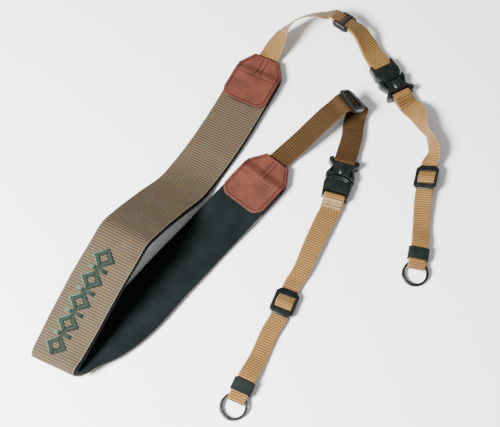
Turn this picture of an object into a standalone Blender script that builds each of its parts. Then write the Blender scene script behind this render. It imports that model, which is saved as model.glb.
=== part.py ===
"""Camera strap lying on a table: padded neck band, leather ends, two webbing straps with their hardware.

Metres, +Z up. Every soft piece is a ribbon that follows a route; every hard piece takes its place
from the same route, so that webbing, sliders, buckles, keepers and rings stay threaded together.
"""
import math
from collections import namedtuple

import bmesh
import bpy
import numpy as np
from mathutils import Matrix

MM = 0.001

# Overall lay and clearances
SPREAD = 300 * MM            # the lay's own scale: route positions are shares of it
GAP = 0.3 * MM               # clearance between neighbouring pieces

# Neck band
BAND_WIDTH = 37.5 * MM
CLOTH_THICK = 1.4 * MM
BACKING_THICK = 3.4 * MM
BAND_RISE = 41 * MM          # height of the band's crest above a lying band

# Leather end patches
LEATHER_THICK = 1.4 * MM
LEATHER_LENGTH = 47 * MM
LEATHER_NECK = 21.5 * MM     # width at the end that the webbing leaves
SHOULDER_LENGTH = 12.5 * MM  # from the narrow end to the full width
LEATHER_CORNER = 9 * MM      # corner radius on the band's side
BAND_INSET = 20 * MM         # the band ends this far inside the leather
WEB_INSET = 11.5 * MM        # the webbing ends this far inside the leather

# Webbing
WEB_THICK = 1.1 * MM
UPPER_WIDTH = 16.5 * MM
LOOP_WIDTH = 16 * MM         # lower webbing at its sewn loop
LOWER_WIDTH = 12.8 * MM      # lower webbing from its slider to its ring
LOOP_TAIL = 11 * MM          # sewn tail on top of the lower webbing
SLIDER_TAIL = 4 * MM         # webbing end that sticks out behind a slider
PARTING_RUN = 6 * MM         # over this length a single layer moves aside for a tail under it
SEWN_LEAD = 8 * MM           # over this length the lower webbing comes back to its line past the sewn tail
STRAP_RISE = 18 * MM         # height scale of the raised stretches of both straps

# Tri-glide sliders
UPPER_SLIDER_LENGTH = 15 * MM
LOWER_SLIDER_LENGTH = 20.5 * MM
UPPER_END_BAR = 3.4 * MM
LOWER_END_BAR = 5 * MM
SLIDER_RAIL = 2.1 * MM
SLIDER_BAR_THICK = 1.3 * MM
SLIDER_BAR_LENGTH = 2.6 * MM
SLIDER_HUMP = 1.2 * MM       # how far the webbing rises over the middle bar
SLIDER_CORNER = 3 * MM
SLIDER_ROUNDING = 0.5 * MM   # rounding of the rims
SLIDER_STRAIGHT = 1.5 * MM   # webbing that stays straight on each side of a slider

# Side-release buckles
BUCKLE_SPAN = 31 * MM        # from the middle of one bar to the middle of the other
BUCKLE_THICK = 7.6 * MM
BUCKLE_WALL = 1.6 * MM
BAR_SIDE = 2.4 * MM
ARM_THICK = 1.4 * MM
SOCKET_LENGTH = 17.5 * MM    # from the middle of its bar to the top of its mouth's arc
MOUTH_ARC = 6.5 * MM         # how far the arc bulges towards the prong
MOUTH_SHOULDER = 0.5 * MM
SOCKET_SWELL = 0.3 * MM      # the socket's sides stand out by this between its bar and its mouth
SOCKET_ROUNDING = 0.8 * MM
SOCKET_FLOOR = 3 * MM        # from the webbing's slot to the bottom of the hollow
CAVITY_SIDE = 2.3 * MM       # side wall of the socket's hollow
BUCKLE_HALF_WIDTH = 11 * MM
ARM_TIP = 33                 # degrees round the arc where the prong's outer arms start
ARM_LENGTH = 2.4 * MM        # widest stretch of an outer arm
ARM_SWELL = 0.2 * MM         # how far an outer arm stands out past the socket's side
ARM_TAPER = 0.6 * MM         # how much narrower the prong is where the arms end
ARM_SLIT = (6.7 * MM, 8.3 * MM)
SLIT_LEAD = 0.2 * MM         # the slits start this far inside the top of the mouth's arc
SLIT_END = 2 * MM            # and end this far before the neck
NECK_PLACE = 24.4 * MM       # narrowest part of the prong
NECK_HALF = 8 * MM
NECK_RUN = 2.4 * MM          # length of each of the two slopes from the arms to the neck
NECK_FLARE = 1 * MM          # widening over the slope next to the neck
LUG_HALF_WIDTH = 12.1 * MM
LUG_RADIUS = 2.5 * MM
PRONG_ROUNDING = 0.5 * MM
PRONG_ROOT = 2 * MM          # the inner arms and the tongue start this far outside the mouth
TONGUE_HALF = 2 * MM         # half width of the tongue between the inner arms
SPRING_WIDTH = 2 * MM        # width of an inner arm
SPRING_END = 2 * MM          # from an inner arm's tip to the bottom of the hollow

# Keeper sleeves and rings
KEEPER_LENGTH = 9.2 * MM
KEEPER_WALL = 0.9 * MM
KEEPER_CORNER = 1.6 * MM
KEEPER_HOLE_CORNER = 0.2 * MM
KEEPER_STAND = 0.4 * MM      # the keeper stands off the ring's rim by this and a gap
RING_OUTER = 19.2 * MM
RING_BAND = 1.7 * MM
RING_HEIGHT = 1.8 * MM
RING_SIDES = 44

# Straight stretches of a route
LEATHER_LEAD = 2 * MM        # past a leather patch
BAR_RUN = 9 * MM             # next to a buckle's bar
LOOP_CLOSING = 0.7           # share of BAR_RUN after which a sewn loop's two layers lie together
STRAIGHT_SPARE = 1 * MM      # past a bar's run and a keeper

# Sizes worked out from those above
LAYER = (WEB_THICK + GAP) / 2
WRAP_RADIUS = math.hypot(BAR_SIDE, BAR_SIDE) / 2 + GAP + WEB_THICK / 2
WRAP_REACH = WRAP_RADIUS + WEB_THICK / 2 + GAP
RING_WRAP = RING_HEIGHT / 2 + GAP + WEB_THICK / 2
RING_INNER_RADIUS = RING_OUTER / 2 - RING_BAND
RING_CLOTH = math.sqrt(RING_INNER_RADIUS ** 2 - (LOWER_WIDTH / 2) ** 2) + GAP
KEEPER_END = RING_OUTER / 2 + GAP + KEEPER_STAND
SLOT_WIDTH = UPPER_WIDTH + 2 * GAP
LEATHER_MID = LEATHER_THICK + GAP + (CLOTH_THICK + GAP + BACKING_THICK) / 2

# Heights of a route's line when what it carries lies on the table
REST = {
    "leather_top": LEATHER_THICK + GAP + BACKING_THICK + GAP / 2,
    "top": BACKING_THICK + GAP / 2,
    "under": CLOTH_THICK + GAP / 2,
    "leather_under": LEATHER_THICK + GAP + CLOTH_THICK + GAP / 2,
    "leather_web": LEATHER_MID,
    "web": LAYER + WEB_THICK / 2,
    "buckle": BUCKLE_THICK / 2,
    "slider": LAYER - SLIDER_HUMP + WEB_THICK / 2 + GAP + SLIDER_BAR_THICK,
    "ring": RING_WRAP + WEB_THICK / 2,
}

# Route rows: x and y are shares of SPREAD, lift is a share of the route's own rise above its rest.
# cross is the plan angle of the ribbon's right-hand side, roll lifts that side, pitch tips the line.
# before and after are straight lengths on each side of the row's point, side is 1 face up, -1 face down.
Row = namedtuple("Row", "name x y rest lift cross roll pitch before after side")

LEATHER_RUN = LEATHER_LENGTH + LEATHER_LEAD
LEATHER_A = (0.047, 0.449)
LEATHER_B = (0.070, 0.137)
BAND_ROWS = [
    Row("leather_a", *LEATHER_A, "leather_top", 0, 153.3, 0, 0, 0, LEATHER_RUN, 1),
    Row("", -0.085, 0.196, "top", 0.02, 152.5, 0, 0, 0, 0, 1),
    Row("valley", -0.148, 0.097, "top", 0.03, 152, 0, 0, 0, 0, 1),
    Row("", -0.166, 0.066, "top", 0.11, 152, 0, 0, 0, 0, 1),
    Row("", -0.219, -0.007, "top", 0.44, 152, 0, 0, 0, 0, 1),
    Row("", -0.269, -0.087, "top", 0.86, 152, 0, 0, 0, 0, 1),
    Row("crest", -0.290, -0.122, "top", 1.00, 152, 0, 0, 0, 0, 1),
    Row("", -0.309, -0.158, "top", 0.97, 153, 0, 0, 0, 0, 1),
    Row("", -0.345, -0.216, "top", 0.81, 153, 0, 0, 0, 0, 1),
    Row("", -0.402, -0.309, "top", 0.47, 153, -1, 0, 0, 0, 1),
    Row("", -0.435, -0.366, "top", 0.29, 153, -7, 0, 0, 0, 1),
    Row("", -0.449, -0.391, "under", 0.27, 153, -13, 0, 0, 0, 1),
    Row("fold", -0.4515, -0.3955, "under", 0.18, 153, -14, 0, 0, 0, 1),
    Row("", -0.4420, -0.395, "under", 0.12, 152, -12, 0, 0, 0, -1),
    Row("", -0.4035, -0.369, "under", 0.08, 148, -7, 0, 0, 0, -1),
    Row("", -0.360, -0.3415, "under", 0.035, 143, -3, 0, 0, 0, -1),
    Row("", -0.3215, -0.313, "under", 0.016, 141, -1, 0, 0, 0, -1),
    Row("", -0.179, -0.154, "under", 0, 140, 0, 0, 0, 0, -1),
    Row("", -0.075, -0.033, "under", 0, 140, 0, 0, 0, 0, -1),
    Row("leather_b", *LEATHER_B, "leather_under", 0, 140, 0, 0, LEATHER_RUN, 0, -1),
]

UPPER_SLIDER_FACES = {"a": -1, "b": 1}    # -1 for a slider that lies on its face

# Buckle places: shares of SPREAD for the upper bar, and the heading from upper to lower webbing
Buckle = namedtuple("Buckle", "x y heading")
BUCKLES = {"a": Buckle(0.3495, 0.4305, -62), "b": Buckle(0.241, 0.138, -107)}

HALF_UPPER_SLIDER = UPPER_SLIDER_LENGTH / 2 + SLIDER_STRAIGHT
HALF_LOWER_SLIDER = LOWER_SLIDER_LENGTH / 2 + SLIDER_STRAIGHT
KEEPER_RUN = KEEPER_END + KEEPER_LENGTH + STRAIGHT_SPARE
UPPER_ROWS = {
    "a": [
        Row("leather", *LEATHER_A, "leather_web", 0, -26.7, 0, 0, WEB_INSET, LEATHER_LEAD, 1),
        Row("", 0.075, 0.494, "web", 0.53, -32, 30, 0, 0, 0, 1),
        Row("", 0.091, 0.518, "web", 0.78, -41, 52, 0, 0, 0, 1),
        Row("", 0.115, 0.540, "web", 0.90, -53, 62, 0, 0, 0, 1),
        Row("", 0.145, 0.557, "web", 0.88, -66, 54, 0, 0, 0, 1),
        Row("", 0.179, 0.564, "web", 0.88, -84, 42, 0, 0, 0, 1),
        Row("", 0.209, 0.561, "web", 0.90, -103, 30, 0, 0, 0, 1),
        Row("slider", 0.2545, 0.541, "web", 0.92, -126, 24, -6, HALF_UPPER_SLIDER, HALF_UPPER_SLIDER, 1),
    ],
    "b": [
        Row("leather", *LEATHER_B, "leather_web", 0, -40, 0, 0, WEB_INSET, LEATHER_LEAD, 1),
        Row("", 0.128, 0.189, "web", 0.40, -44, 0, 0, 0, 0, 1),
        Row("", 0.169, 0.225, "web", 0.68, -48, 0, 0, 0, 0, 1),
        Row("", 0.202, 0.252, "web", 0.92, -51, 0, 0, 0, 0, 1),
        Row("", 0.224, 0.268, "web", 1.05, -54, 0, 0, 0, 0, 1),
        Row("slider", 0.259, 0.289, "web", 0.93, -56, 0, -36, HALF_UPPER_SLIDER, HALF_UPPER_SLIDER, 1),
        Row("", 0.2870, 0.3045, "web", 0.32, -54, 0, 0, 0, 0, 1),
        Row("", 0.2790, 0.2850, "web", 0.12, -47, 0, 0, 0, 0, -1),
        Row("", 0.269, 0.250, "web", 0.14, -37, 0, 0, 0, 0, -1),
        Row("", 0.262, 0.207, "web", 0.15, -25, 0, 0, 0, 0, -1),
    ],
}
LOWER_ROWS = {
    "a": [
        Row("", 0.4355, 0.279, "web", 0.27, 204, -38, 0, 0, 0, 1),
        Row("", 0.4460, 0.246, "web", 0.38, 198, -68, 0, 0, 0, 1),
        Row("", 0.4550, 0.217, "web", 0.44, 197, -92, 0, 0, 0, 1),
        Row("", 0.4635, 0.192, "web", 0.43, 192, -78, 0, 0, 0, 1),
        Row("", 0.4690, 0.165, "web", 0.36, 182, -58, 0, 0, 0, 1),
        Row("slider", 0.4460, 0.090, "slider", 0.16, 165, -20, 0, HALF_LOWER_SLIDER, HALF_LOWER_SLIDER, 1),
        Row("", 0.430, 0.020, "web", 0.14, 170, -12, 0, 0, 0, 1),
        Row("", 0.423, -0.040, "web", 0.06, 170, -4, 0, 0, 0, 1),
        Row("ring", 0.3995, -0.1633, "ring", 0, 168, 0, -7, KEEPER_RUN, RING_OUTER, 1),
    ],
    "b": [
        Row("", 0.184, -0.027, "web", 0.16, 158, 0, 0, 0, 0, 1),
        Row("", 0.151, -0.097, "web", 0.20, 156, 0, 0, 0, 0, 1),
        Row("", 0.1255, -0.155, "web", 0.14, 157, 0, 0, 0, 0, 1),
        Row("slider", 0.082, -0.240, "slider", 0.03, 157.5, 0, 0, HALF_LOWER_SLIDER, HALF_LOWER_SLIDER, 1),
        Row("", 0.049, -0.307, "web", 0.03, 156, 0, 0, 0, 0, 1),
        Row("", 0.019, -0.374, "web", 0.02, 155.5, 0, 0, 0, 0, 1),
        Row("ring", -0.0375, -0.4877, "ring", 0, 155, 0, -7, KEEPER_RUN, RING_OUTER, 1),
    ],
}

Material = namedtuple("Material", "colour roughness metallic")
MATERIALS = {
    "ribbed_cloth": Material((0.36, 0.29, 0.20), 0.9, 0),
    "foam_backing": Material((0.010, 0.014, 0.016), 0.95, 0),
    "brown_leather": Material((0.30, 0.085, 0.055), 0.6, 0),
    "tan_webbing": Material((0.46, 0.27, 0.12), 0.85, 0),
    "black_plastic": Material((0.012, 0.014, 0.015), 0.45, 0),
    "rubber": Material((0.030, 0.038, 0.040), 0.7, 0),
    "dark_metal": Material((0.06, 0.065, 0.065), 0.3, 1),
}


def clear_scene():
    for obj in list(bpy.data.objects):
        bpy.data.objects.remove(obj)


def material(name):
    """The named Principled material, made on first use."""
    found = bpy.data.materials.get(name)
    if found:
        return found
    values = MATERIALS[name]
    made = bpy.data.materials.new(name)
    made.use_nodes = True
    shader = made.node_tree.nodes["Principled BSDF"]
    shader.inputs["Base Color"].default_value = (*values.colour, 1)
    shader.inputs["Roughness"].default_value = values.roughness
    shader.inputs["Metallic"].default_value = values.metallic
    return made


def unit(vector):
    return vector / np.linalg.norm(vector)


def plan_vector(angle, tilt=0.0):
    """Unit vector at a plan angle, tilted up by tilt; both in degrees."""
    a = math.radians(angle)
    b = math.radians(tilt)
    return np.array([math.cos(a) * math.cos(b), math.sin(a) * math.cos(b), math.sin(b)])


class Route:
    """A line in space with the direction of a ribbon's right-hand side along it."""

    def __init__(self, rows, rise):
        knots = []
        marks = {}
        for row in rows:
            point = np.array([row.x * SPREAD, row.y * SPREAD, REST[row.rest] + row.lift * rise])
            along = plan_vector(row.cross + 90 * row.side, row.pitch)
            turned = (row.cross, row.roll)
            if row.before or row.after:
                marks[row.name] = (len(knots), row.before)
                knots.append((point - along * row.before, along, turned))
                knots.append((point + along * row.after, along, turned))
            else:
                marks[row.name] = (len(knots), 0.0)
                knots.append((point, None, turned))
        self.build(knots)
        self.marks = {name: self.knot_at[index] + ahead for name, (index, ahead) in marks.items()}

    def build(self, knots):
        """Samples a smooth curve through the knots about every millimetre."""
        places = [knot[0] for knot in knots]
        tangents = []
        for i, (place, fixed, _) in enumerate(knots):
            if fixed is not None:
                tangents.append(fixed)
                continue
            back = place - places[max(i - 1, 0)]
            ahead = places[min(i + 1, len(places) - 1)] - place
            weight = np.linalg.norm(ahead) / (np.linalg.norm(ahead) + np.linalg.norm(back))
            blend = weight * back / max(np.linalg.norm(back), MM)
            blend = blend + (1 - weight) * ahead / max(np.linalg.norm(ahead), MM)
            tangents.append(unit(blend))
        points = [places[0]]
        turned = [knots[0][2]]
        knot_index = [0]
        for i in range(len(knots) - 1):
            start = places[i]
            end = places[i + 1]
            length = np.linalg.norm(end - start)
            count = max(2, math.ceil(length / MM))
            for j in range(1, count + 1):
                t = j / count
                point = (2 * t ** 3 - 3 * t ** 2 + 1) * start + (3 * t ** 2 - 2 * t ** 3) * end
                point = point + (t ** 3 - 2 * t ** 2 + t) * length * tangents[i]
                point = point + (t ** 3 - t ** 2) * length * tangents[i + 1]
                points.append(point)
                first = np.array(knots[i][2], float)
                last = np.array(knots[i + 1][2], float)
                turned.append(first + (last - first) * t)
            knot_index.append(len(points) - 1)
        self.points = np.array(points)
        steps = np.linalg.norm(np.diff(self.points, axis=0), axis=1)
        self.distance = np.concatenate([[0.0], np.cumsum(steps)])
        self.turned = np.array(turned)
        tangent = np.gradient(self.points, self.distance, axis=0)
        self.tangent = tangent / np.linalg.norm(tangent, axis=1)[:, None]
        self.knot_at = [self.distance[i] for i in knot_index]
        self.length = self.distance[-1]

    def read(self, values, s):
        return np.array([np.interp(s, self.distance, column) for column in values.T])

    def frame(self, s):
        """Point, tangent, right-hand side and normal at a distance along the route."""
        point = self.read(self.points, s)
        along = unit(self.read(self.tangent, s))
        angle, roll = self.read(self.turned, s)
        cross = plan_vector(angle, roll)
        cross = unit(cross - along * np.dot(cross, along))
        return point, along, cross, np.cross(cross, along)

    def matrix(self, s):
        """Placement with X along the route, Y to its left and Z along its normal."""
        point, along, cross, normal = self.frame(s)
        rows = np.column_stack([along, -cross, normal, point])
        return Matrix([*rows.tolist(), (0, 0, 0, 1)])

    def samples(self, low, high, longest=5 * MM, turn=9.0):
        """Distances from low to high, close together where the line or the ribbon turns."""
        inside = self.distance[(self.distance > low + 0.2 * MM) & (self.distance < high - 0.2 * MM)]
        kept = [low]
        last = self.frame(low)
        for s in inside:
            here = self.frame(s)
            bend = math.degrees(math.acos(min(1, max(-1, np.dot(last[1], here[1])))))
            twist = math.degrees(math.acos(min(1, max(-1, np.dot(last[2], here[2])))))
            if s - kept[-1] >= longest or bend + twist > turn:
                kept.append(s)
                last = here
        kept.append(high)
        return kept


def layer(route, start, end, heights):
    """Points and right-hand sides along a route, at heights over it given as (distance, height)."""
    keys = sorted(heights)
    distances = [key[0] for key in keys]
    levels = [key[1] for key in keys]
    low, high = min(start, end), max(start, end)
    fixed = [low, high] + [s for s in distances + route.knot_at if low < s < high]
    free = [s for s in route.samples(low, high) if min(abs(s - f) for f in fixed) > 0.35 * MM]
    kept = sorted(set(fixed + free), reverse=bool(end < start))
    strip = []
    for s in kept:
        point, _, cross, normal = route.frame(s)
        strip.append((point + normal * np.interp(s, distances, levels), cross))
    return strip


def turn(route, s, radius, side, way, count=10):
    """Half a turn about the route's point at s, from its side (1 over, -1 under) to the other."""
    point, along, cross, normal = route.frame(s)
    strip = []
    for i in range(1, count):
        angle = math.pi * i / count
        out = math.cos(angle) * side * normal + math.sin(angle) * way * along
        strip.append((point + radius * out, cross))
    return strip


def new_object(name, mesh, surface):
    obj = bpy.data.objects.new(name, mesh)
    mesh.materials.append(material(surface))
    bpy.context.scene.collection.objects.link(obj)
    return obj


def loft(name, sections, surface, hollow=None):
    """Closed solid through sections of equal point counts; hollow holds the inner sections of a tube."""
    shape = bmesh.new()
    rings = [[shape.verts.new(tuple(point)) for point in section] for section in sections]
    for near, far in zip(rings, rings[1:]):
        for i in range(len(near)):
            j = (i + 1) % len(near)
            shape.faces.new((near[i], near[j], far[j], far[i]))
    if hollow is None:
        shape.faces.new(rings[0][::-1])
        shape.faces.new(rings[-1])
    else:
        inner = [[shape.verts.new(tuple(point)) for point in section] for section in hollow]
        for near, far in zip(inner, inner[1:]):
            for i in range(len(near)):
                j = (i + 1) % len(near)
                shape.faces.new((near[i], far[i], far[j], near[j]))
        for outer_ring, inner_ring in ((rings[0], inner[0]), (rings[-1][::-1], inner[-1][::-1])):
            for i in range(len(outer_ring)):
                j = (i + 1) % len(outer_ring)
                shape.faces.new((outer_ring[j], outer_ring[i], inner_ring[i], inner_ring[j]))
    bmesh.ops.recalc_face_normals(shape, faces=shape.faces)
    bmesh.ops.triangulate(shape, faces=shape.faces)
    mesh = bpy.data.meshes.new(name)
    shape.to_mesh(mesh)
    shape.free()
    return new_object(name, mesh, surface)


def ribbon(name, strip, width, thick, surface):
    """Flat ribbon along a strip of points and right-hand sides; width may be a function of the station."""
    points = np.array([point for point, _ in strip])
    tangents = np.gradient(points, axis=0)
    sections = []
    for i, (point, cross) in enumerate(strip):
        half = (width(i) if callable(width) else width) / 2
        normal = unit(np.cross(cross, tangents[i])) * thick / 2
        right = point + cross * half
        left = point - cross * half
        sections.append([left - normal, right - normal, right + normal, left + normal])
    return loft(name, sections, surface)


def band_strip(route, offset):
    """A band layer's centre line at an offset over the route; its ends stay square to the band."""
    strip = []
    for s in route.samples(BAND_INSET, route.length - BAND_INSET):
        point, along, _, _ = route.frame(s)
        cross = plan_vector(*route.read(route.turned, s))
        strip.append((point + unit(np.cross(cross, along)) * offset, cross))
    return strip


def build_band(route):
    """The ribbed cloth and, a gap under it, its thicker soft backing."""
    cloth = band_strip(route, (GAP + CLOTH_THICK) / 2)
    backing = band_strip(route, -(GAP + BACKING_THICK) / 2)
    ribbon("band_cloth", cloth, BAND_WIDTH, CLOTH_THICK, "ribbed_cloth")
    ribbon("band_backing", backing, BAND_WIDTH, BACKING_THICK, "foam_backing")


def leather_width(depth):
    """Width of a leather patch at a depth from its narrow end."""
    if depth < SHOULDER_LENGTH:
        return LEATHER_NECK + (BAND_WIDTH - LEATHER_NECK) * depth / SHOULDER_LENGTH
    short = max(0.0, depth - (LEATHER_LENGTH - LEATHER_CORNER))
    return BAND_WIDTH - 2 * (LEATHER_CORNER - math.sqrt(max(0.0, LEATHER_CORNER ** 2 - short ** 2)))


def build_leather(route, letter, from_start):
    """Front and back patches: they close on the webbing at the narrow end and open round the band."""
    mid = -(BACKING_THICK - CLOTH_THICK) / 2
    near = WEB_THICK / 2 + GAP + LEATHER_THICK / 2
    far = {"front": GAP / 2 + CLOTH_THICK + GAP + LEATHER_THICK / 2,
           "back": -GAP / 2 - BACKING_THICK - GAP - LEATHER_THICK / 2}
    corner = LEATHER_LENGTH - LEATHER_CORNER
    depths = [0, SHOULDER_LENGTH / 2, SHOULDER_LENGTH, BAND_INSET - GAP, (BAND_INSET + corner) / 2]
    depths += [corner + LEATHER_CORNER * math.sin(math.radians(a)) for a in (0, 20, 38, 54, 68)]
    for face, side in (("front", 1), ("back", -1)):
        strip = []
        widths = []
        for depth in depths:
            s = depth if from_start else route.length - depth
            height = np.interp(depth, [WEB_INSET, BAND_INSET - 2 * GAP], [mid + side * near, far[face]])
            point, _, cross, normal = route.frame(s)
            strip.append((point + normal * height, cross))
            widths.append(leather_width(depth))
        if not from_start:
            strip.reverse()
            widths.reverse()
        name = f"leather_{letter}_{face}"
        ribbon(name, strip, widths.__getitem__, LEATHER_THICK, "brown_leather")


def weave(s, window, layer_height, face=1):
    """Heights of a layer at a slider: over its middle bar, under its end bars; face -1 turns that round."""
    crest = SLIDER_BAR_LENGTH / 2 + 2 * GAP
    raised = layer_height + face * SLIDER_HUMP
    return [(s - window / 2, layer_height), (s - crest, raised),
            (s + crest, raised), (s + window / 2, layer_height)]


def build_upper(letter, route):
    """Adjuster webbing: out of the leather, over the slider, round the buckle's bar and back."""
    slider = route.marks["slider"]
    bar = route.marks["bar"]
    window = UPPER_SLIDER_LENGTH - 2 * UPPER_END_BAR
    tail = slider - UPPER_SLIDER_LENGTH / 2 - SLIDER_TAIL
    face = UPPER_SLIDER_FACES[letter]
    over = [(0, 0), (tail - PARTING_RUN, 0), (tail - GAP, LAYER), *weave(slider, window, LAYER, face)]
    over += [(bar - BAR_RUN, LAYER), (bar, WRAP_RADIUS)]
    under = [(tail, -LAYER), *weave(slider, window, -LAYER, face)]
    under += [(bar - BAR_RUN, -LAYER), (bar, -WRAP_RADIUS)]
    strip = layer(route, 0, bar, over) + turn(route, bar, WRAP_RADIUS, 1, 1) + layer(route, bar, tail, under)
    ribbon(f"webbing_{letter}_upper", strip, UPPER_WIDTH, WEB_THICK, "tan_webbing")
    place = route.matrix(slider) @ Matrix.Rotation(math.pi * (face < 0), 4, "X")
    build_slider(f"slider_{letter}_upper", place, UPPER_SLIDER_LENGTH, window, UPPER_WIDTH)


def build_lower(letter, route):
    """Lower webbing: sewn loop on the buckle's bar, over the slider, round the ring and back."""
    bar = route.marks["bar"]
    slider = route.marks["slider"]
    ring = route.marks["ring"]
    window = LOWER_SLIDER_LENGTH - 2 * LOWER_END_BAR
    tail = slider - LOWER_SLIDER_LENGTH / 2 - SLIDER_TAIL
    sewn = bar + LOOP_TAIL
    keeper = (ring - KEEPER_END - KEEPER_LENGTH, ring - KEEPER_END)
    end = ring - RING_CLOTH
    top = [(bar, WRAP_RADIUS), (bar + BAR_RUN * LOOP_CLOSING, LAYER), (sewn, LAYER)]
    over = [(bar, -WRAP_RADIUS), (bar + BAR_RUN * LOOP_CLOSING, -LAYER), (sewn + MM, -LAYER)]
    over += [(sewn + SEWN_LEAD, 0), (tail - PARTING_RUN, 0), (tail - GAP, LAYER)]
    over += [*weave(slider, window, LAYER), (keeper[0], LAYER), (keeper[1], RING_WRAP), (end, RING_WRAP)]
    under = [(tail, -LAYER), *weave(slider, window, -LAYER)]
    under += [(keeper[0], -LAYER), (keeper[1], -RING_WRAP), (end, -RING_WRAP)]
    pieces = [
        layer(route, sewn, bar, top),
        turn(route, bar, WRAP_RADIUS, 1, -1),
        layer(route, bar, end, over),
        turn(route, end, RING_WRAP, 1, 1),
        layer(route, end, tail, under),
    ]
    strip = [station for piece in pieces for station in piece]
    places = np.array([point for point, _ in strip])
    travelled = np.concatenate([[0.0], np.cumsum(np.linalg.norm(np.diff(places, axis=0), axis=1))])
    taper_start = LOOP_TAIL + math.pi * WRAP_RADIUS + LOOP_TAIL
    taper_end = taper_start + (tail - sewn) - SEWN_LEAD

    def width(i):
        return float(np.interp(travelled[i], [taper_start, taper_end], [LOOP_WIDTH, LOWER_WIDTH]))

    ribbon(f"webbing_{letter}_lower", strip, width, WEB_THICK, "tan_webbing")
    build_slider(f"slider_{letter}_lower", route.matrix(slider), LOWER_SLIDER_LENGTH, window, LOWER_WIDTH)
    build_keeper(f"keeper_{letter}", route, keeper)
    build_ring(f"ring_{letter}", route.matrix(ring))


def box(x_range, y_range, z_range):
    """Mesh data of a box between the given limits."""
    shape = bmesh.new()
    bmesh.ops.create_cube(shape, size=1)
    for vert in shape.verts:
        for axis, limits in enumerate((x_range, y_range, z_range)):
            vert.co[axis] = limits[0] if vert.co[axis] < 0 else limits[1]
    return shape


def prism(outline, z_range, bevel=0.0):
    """A plan outline, given anticlockwise, raised between two heights; bevel rounds its two rims."""
    shape = bmesh.new()
    base = shape.faces.new([shape.verts.new((x, y, z_range[0])) for x, y in outline])
    raised = bmesh.ops.extrude_face_region(shape, geom=[base])
    verts = [item for item in raised["geom"] if isinstance(item, bmesh.types.BMVert)]
    bmesh.ops.translate(shape, verts=verts, vec=(0, 0, z_range[1] - z_range[0]))
    if bevel:
        rims = [edge for edge in shape.edges if abs(edge.verts[0].co.z - edge.verts[1].co.z) < 1e-7]
        bmesh.ops.bevel(shape, geom=rims, offset=bevel, segments=2, profile=0.5, affect="EDGES", material=-1)
    bmesh.ops.recalc_face_normals(shape, faces=shape.faces)
    return shape


def finish(shape, name, matrix, surface):
    """Object from mesh data, placed by a matrix; the data is freed."""
    mesh = bpy.data.meshes.new(name)
    shape.to_mesh(mesh)
    shape.free()
    obj = new_object(name, mesh, surface)
    obj.matrix_world = matrix
    return obj


def combine(obj, shapes, operation):
    """Adds one exact Boolean for each shape, which stays as a hidden guide object."""
    for i, shape in enumerate(shapes):
        name = f"guide_{obj.name}_{operation.lower()}_{i}"
        guide = finish(shape, name, obj.matrix_world, obj.active_material.name)
        guide.hide_render = True
        guide.display_type = "WIRE"
        step = obj.modifiers.new(f"{operation.lower()}_{i}", "BOOLEAN")
        step.operation = operation
        step.solver = "EXACT"
        step.object = guide


def mirrored(half):
    """Anticlockwise outline from the points of its right-hand edge, given as (x, half width)."""
    return [(x, -y) for x, y in half] + [(x, y) for x, y in reversed(half)]


def build_slider(name, matrix, length, window, web_width):
    """Tri-glide: two end bars over the webbing, a middle bar under it, and a rail on each side."""
    inner = web_width / 2 + GAP
    outer = inner + SLIDER_RAIL
    under = LAYER + WEB_THICK / 2 + GAP
    bar_top = SLIDER_HUMP - LAYER - WEB_THICK / 2 - GAP
    bottom = bar_top - SLIDER_BAR_THICK
    top = under + SLIDER_BAR_THICK
    half = length / 2
    outline = mirrored([(-half, outer - SLIDER_CORNER), (-half + SLIDER_CORNER, outer),
                        (half - SLIDER_CORNER, outer), (half, outer - SLIDER_CORNER)])
    slider = finish(prism(outline, (bottom, top), SLIDER_ROUNDING), name, matrix, "black_plastic")
    bar = SLIDER_BAR_LENGTH / 2
    past = 3 * MM
    cuts = [box((-half - past, -bar), (-inner, inner), (bottom - past, under)),
            box((bar, half + past), (-inner, inner), (bottom - past, under)),
            box((-window / 2, window / 2), (-inner, inner), (bar_top, top + past))]
    combine(slider, cuts, "DIFFERENCE")


def buckle_matrix(place, flip):
    """Placement of a buckle from its socket's bar, with X towards the other half."""
    heading = place.heading + (180 if flip else 0)
    along = plan_vector(heading)
    origin = np.array([place.x * SPREAD, place.y * SPREAD, REST["buckle"]])
    if flip:
        origin = origin - along * BUCKLE_SPAN
    rows = np.column_stack([along, plan_vector(heading + 90), [0, 0, 1], origin])
    return Matrix([*rows.tolist(), (0, 0, 0, 1)])


def bar_cuts(centre, towards):
    """Slot for the webbing between a bar and its body, and relief over and under the bar."""
    half = SLOT_WIDTH / 2
    bar = BAR_SIDE / 2
    tall = BUCKLE_THICK
    near = centre + towards * bar
    far = centre + towards * WRAP_REACH
    edge = centre - towards * BUCKLE_THICK
    return [box(sorted((near, far)), (-half, half), (-tall, tall)),
            box(sorted((edge, far)), (-half, half), (bar, tall)),
            box(sorted((edge, far)), (-half, half), (-tall, -bar))]


def mouth_arc(clearance, angles):
    """Points (x, half width) of the socket's bulging mouth, moved out by a clearance; angles in degrees."""
    reach = MOUTH_ARC + clearance
    half = BUCKLE_HALF_WIDTH - MOUTH_SHOULDER + clearance
    start = SOCKET_LENGTH - MOUTH_ARC
    return [(start + reach * math.sin(math.radians(a)), half * math.cos(math.radians(a))) for a in angles]


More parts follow.
